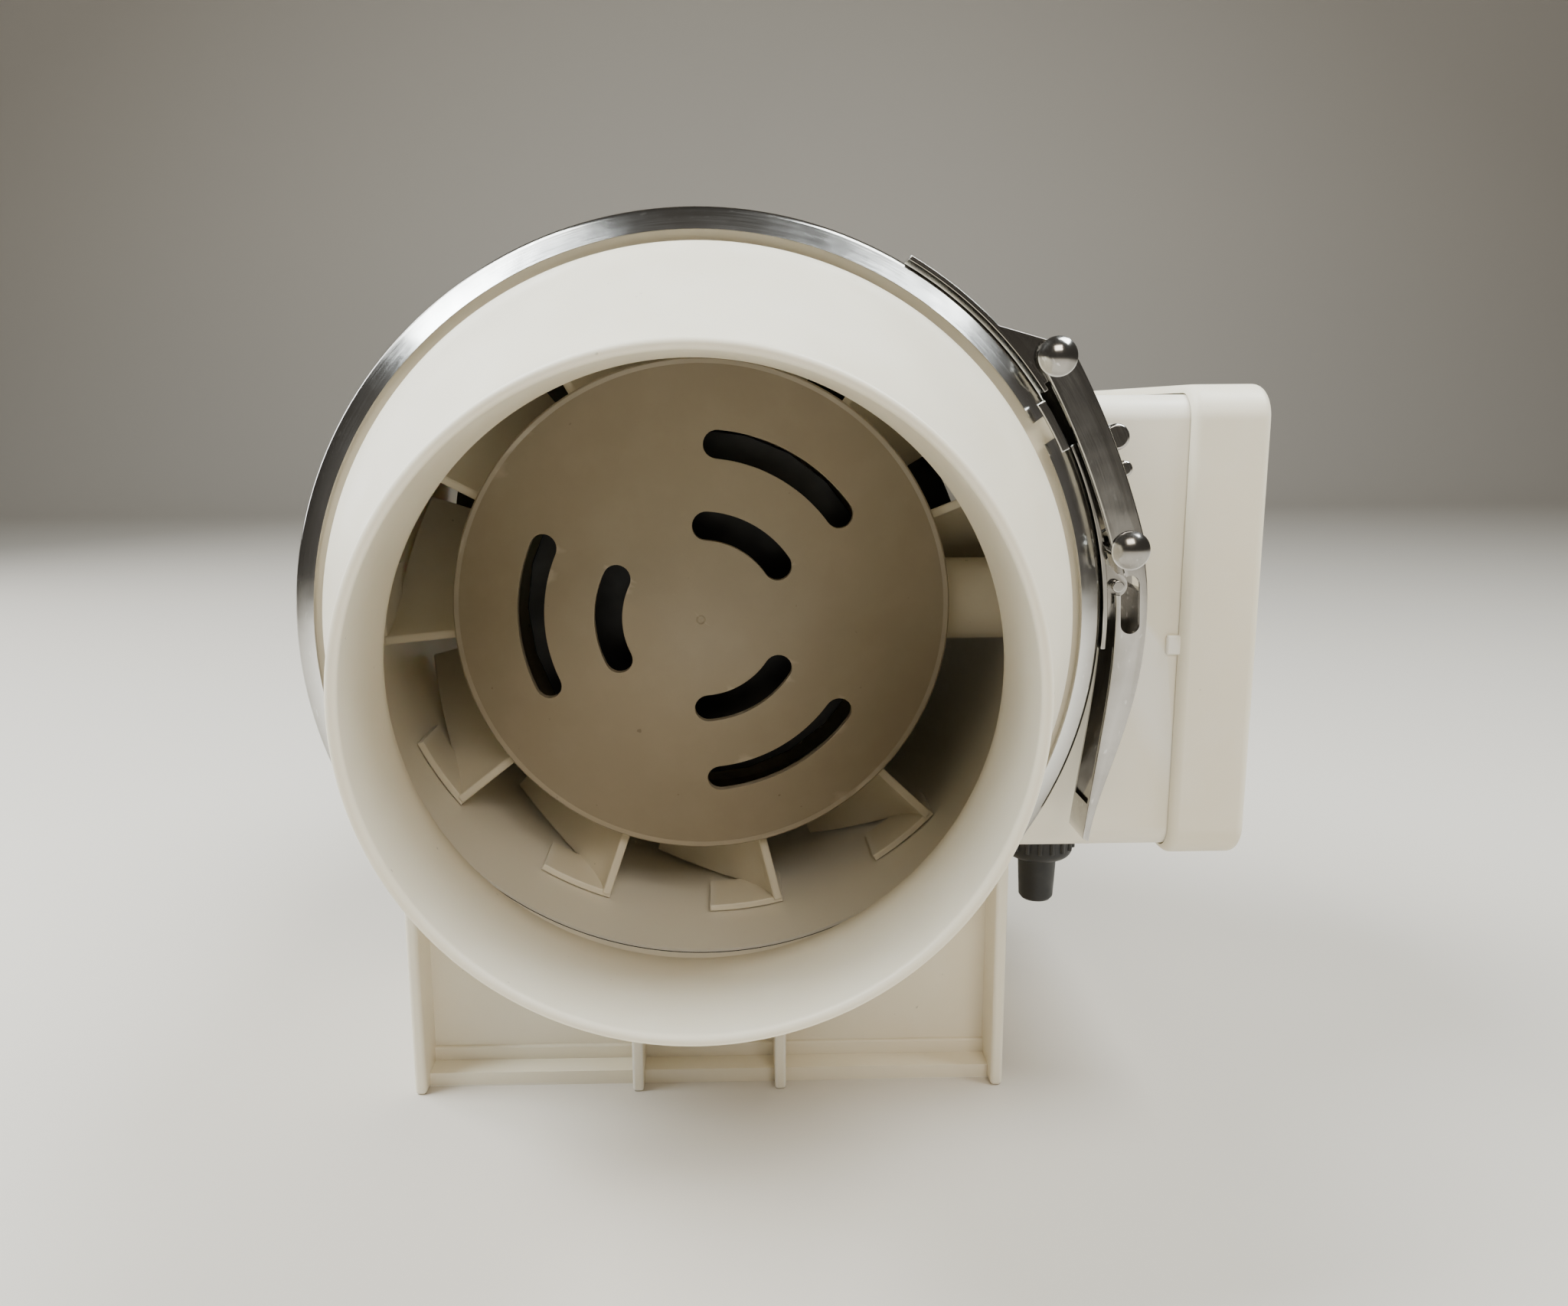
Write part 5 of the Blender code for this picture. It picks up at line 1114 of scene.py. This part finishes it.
def moulded_plastic(name, base, warm, worn, grain, specks):
    """Satin moulded plastic: faint flow mottling, a fine grain, rare specks and paler worn edges."""
    f = Finish(name, base, 0.42)
    f.fill(f.shader, {"Specular IOR Level": 0.45, "Subsurface Weight": 0.06, "Subsurface Scale": 1.0})
    f.shader.inputs["Subsurface Radius"].default_value = (0.004, 0.003, 0.002)
    mottled = f.mix(f.ramp(f.noise(16.0, 4.0), 0.35, 0.68), base, warm)
    cloudy = f.mix(f.ramp(f.noise(140.0, 5.0), 0.45, 0.8, 0.0, 0.22), mottled, worn)
    dark = tuple(c * 0.35 for c in warm)
    speckled = f.mix(f.ramp(f.noise(620.0, 1.0), 0.79, 0.83, 0.0, specks), cloudy, dark)
    f.colour(f.mix(f.edges(0.53, 0.64), speckled, worn))
    f.satin(90.0, 4.0, 0.34, 0.52)
    waves = f.bump(f.noise(45.0, 2.0), 0.12, 0.0006)
    f.grain(2600.0, 2.0, grain, 0.00004, waves)


def polished_steel():
    """Rolled stainless strip: fine lines round the axis, smudges, a few scratches and brighter edges."""
    base, smudge, bright = (0.40, 0.385, 0.36), (0.22, 0.205, 0.185), (0.72, 0.71, 0.69)
    f = Finish("stainless", base, 0.15, 1.0)
    lines = f.noise(1.0, 3.0, 0.6, f.around_axis(6.0, 4200.0))
    patches = f.noise(55.0, 6.0, 0.65)
    tinted = f.mix(f.ramp(patches, 0.42, 0.72), base, smudge)
    scratches = f.noise(1.0, 1.0, 0.5, f.around_axis(40.0, 1300.0))
    scratched = f.mix(f.ramp(scratches, 0.7, 0.76, 0.0, 0.5), tinted, bright)
    f.colour(f.mix(f.edges(0.52, 0.6), scratched, bright))
    rough = f.math("ADD", f.ramp(patches, 0.3, 0.75, 0.07, 0.19), f.ramp(lines, 0.3, 0.7, 0.0, 0.06))
    f.roughness(rough)
    dents = f.bump(f.noise(70.0, 2.0), 0.25, 0.0005)
    f.normal(f.bump(lines, 0.12, 0.00003, dents))


def black_moulding():
    base, dusty = (0.011, 0.011, 0.012), (0.06, 0.058, 0.054)
    f = Finish("black_plastic", base, 0.45)
    dust = f.mix(f.ramp(f.noise(80.0, 6.0), 0.5, 0.8, 0.0, 0.5), base, dusty)
    f.colour(f.mix(f.edges(0.53, 0.62), dust, dusty))
    f.satin(150.0, 4.0, 0.34, 0.6)
    f.grain(2200.0, 2.0, 0.3, 0.00005)


def mottled_finish(name, base, metallic, mottling, colours, satin, grain):
    """A plain material whose colour wanders between two shades."""
    f = Finish(name, base, satin[2], metallic)
    scale, detail, low, high = mottling
    f.colour(f.mix(f.ramp(f.noise(scale, detail), low, high), *colours))
    f.satin(*satin)
    f.grain(*grain)


def rubber():
    mottled_finish("seal_rubber", (0.03, 0.03, 0.03), 0.0, (120.0, 5.0, 0.4, 0.7),
                   ((0.022, 0.022, 0.022), (0.06, 0.058, 0.055)),
                   (300.0, 4.0, 0.68, 0.9), (1800.0, 3.0, 0.4, 0.00008))


def zinc_plate():
    mottled_finish("zinc_steel", (0.52, 0.53, 0.54), 1.0, (260.0, 5.0, 0.35, 0.7),
                   ((0.56, 0.57, 0.58), (0.40, 0.39, 0.36)),
                   (420.0, 4.0, 0.24, 0.46), (1500.0, 3.0, 0.2, 0.00005))


def laminations():
    """Stacked sheets of steel, seen as fine dark lines across the axis."""
    f = Finish("lamination_steel", (0.26, 0.26, 0.28), 0.5, 1.0)
    wave = f.node("TexWave", {"Scale": 320.0, "Vector": f.place}, bands_direction="Y")["Fac"]
    f.colour(f.mix(wave, (0.10, 0.10, 0.11), (0.34, 0.34, 0.36)))
    f.satin(200.0, 3.0, 0.4, 0.62)
    f.normal(f.bump(wave, 0.5, 0.0001))


def copper_wire():
    """Enamelled copper turns, laid round the winding."""
    f = Finish("copper_winding", (0.58, 0.24, 0.10), 0.35, 1.0)
    turns = f.noise(1.0, 2.0, 0.5, f.around_axis(4.0, 2400.0))
    f.colour(f.mix(f.ramp(turns, 0.35, 0.65), (0.30, 0.10, 0.035), (0.66, 0.30, 0.13)))
    f.roughness(f.ramp(turns, 0.3, 0.7, 0.25, 0.45))
    f.normal(f.bump(turns, 0.7, 0.0002))


def insulation(name, colour):
    darker = tuple(c * 0.6 for c in colour)
    mottled_finish(name, colour, 0.0, (180.0, 4.0, 0.35, 0.7), (colour, darker),
                   (300.0, 3.0, 0.36, 0.55), (1600.0, 2.0, 0.2, 0.00005))


def make_materials():
    ivory = (0.84, 0.775, 0.63), (0.81, 0.735, 0.575), (0.88, 0.84, 0.74)
    # The hub cover's darker brown copy of the ivory plastic is painted shade: it stands in for the dim light
    # deep inside the duct.
    painted_shade_brown = (0.42, 0.36, 0.265), (0.385, 0.325, 0.23), (0.52, 0.46, 0.355)
    moulded_plastic("ivory_plastic", *ivory, 0.22, 0.45)
    moulded_plastic("hub_plastic", *painted_shade_brown, 0.3, 0.5)
    polished_steel()
    black_moulding()
    rubber()
    zinc_plate()
    laminations()
    copper_wire()
    insulation("lead_brown", (0.20, 0.08, 0.03))
    insulation("lead_blue", (0.05, 0.15, 0.50))
    insulation("capacitor_white", (0.80, 0.80, 0.78))


# ---- studio


FLOOR_HALF = 3.0
CAMERA_PLACE = (4.8 * MM, -277.7 * MM, AXIS_HEIGHT + 38.8 * MM)
CAMERA_PITCH = 10.47
CAMERA_YAW = 0.84
CAMERA_ROLL = -0.51
SENSOR = 36.0
LENS = SENSOR * 1561 / 2048
SHIFT = (0.026, -0.011)


def make_floor():
    """A pale sheet that curves up behind the object."""
    bend, back = 0.5, 1.6
    profile = [(-FLOOR_HALF, 0.0), (back, 0.0)]
    profile += [(back + bend * math.sin(math.radians(9 * i)), bend * (1 - math.cos(math.radians(9 * i))))
                for i in range(1, 11)]
    profile.append((back + bend, FLOOR_HALF))
    shape = bmesh.new()
    rows = [[shape.verts.new((x, y, z)) for x in (-FLOOR_HALF, FLOOR_HALF)] for y, z in profile]
    for near, far in zip(rows, rows[1:]):
        shape.faces.new((near[0], near[1], far[1], far[0]))
    mesh = mesh_from(shape, "floor")
    mesh.shade_smooth()
    floor = bpy.data.objects.new("floor", mesh)
    SCENE.collection.objects.link(floor)
    finish = bpy.data.materials.new("pale_floor")
    finish.use_nodes = True
    shader = finish.node_tree.nodes["Principled BSDF"]
    shader.inputs["Base Color"].default_value = (0.62, 0.575, 0.51, 1.0)
    shader.inputs["Roughness"].default_value = 0.7
    mesh.materials.append(finish)


def softbox(name, place, width, height, power, colour):
    """A lamp with a rectangular face, turned towards the middle of the fan."""
    data = bpy.data.lights.new(name, "AREA")
    data.shape = "RECTANGLE"
    data.size, data.size_y = width, height
    data.energy = power
    data.color = colour
    light = bpy.data.objects.new(name, data)
    light.location = place
    light.rotation_euler = (Vector((0, 0, AXIS_HEIGHT)) - Vector(place)).to_track_quat("-Z", "Y").to_euler()
    SCENE.collection.objects.link(light)


def make_studio():
    make_floor()
    world = bpy.data.worlds.new("studio")
    world.use_nodes = True
    background = world.node_tree.nodes["Background"]
    background.inputs["Color"].default_value = (0.95, 0.88, 0.78, 1.0)
    background.inputs["Strength"].default_value = 0.10
    SCENE.world = world
    softbox("key_left", (-0.62, -0.12, 0.95), 0.55, 0.6, 22.0, (0.90, 0.97, 1.0))
    softbox("key_right", (0.58, -0.12, 1.0), 0.45, 0.6, 19.0, (0.90, 0.97, 1.0))
    softbox("fill", (0.25, -1.05, 0.85), 0.6, 0.4, 7.0, (1.0, 0.92, 0.80))
    softbox("rim", (-0.9, 0.5, 0.6), 0.3, 0.9, 8.0, (0.97, 0.98, 1.0))


def make_camera():
    data = bpy.data.cameras.new("camera")
    data.sensor_width = SENSOR
    data.lens = LENS
    data.shift_x, data.shift_y = SHIFT
    data.clip_start = 0.01
    camera = bpy.data.objects.new("camera", data)
    SCENE.collection.objects.link(camera)
    pitch, yaw = math.radians(CAMERA_PITCH), math.radians(CAMERA_YAW)
    forward = Vector((math.sin(yaw) * math.cos(pitch), math.cos(yaw) * math.cos(pitch), -math.sin(pitch)))
    facing = forward.to_track_quat("-Z", "Y").to_matrix().to_4x4()
    facing @= Matrix.Rotation(math.radians(CAMERA_ROLL), 4, "Z")
    facing.translation = CAMERA_PLACE
    camera.matrix_world = facing
    SCENE.camera = camera


# ---- assembly


def main():
    make_camera()
    make_studio()
    make_materials()
    make_collars()
    make_casing()
    make_guide_vanes()
    make_hub_cover()
    make_impeller()
    make_clamp("outlet", -JOINT_Y)
    make_clamp("inlet", JOINT_Y)
    make_foot()
    make_screws()
    make_terminal_box()
    make_gland()
    make_inside()
    for blank in list(WORK.objects):
        bpy.data.objects.remove(blank)


main()
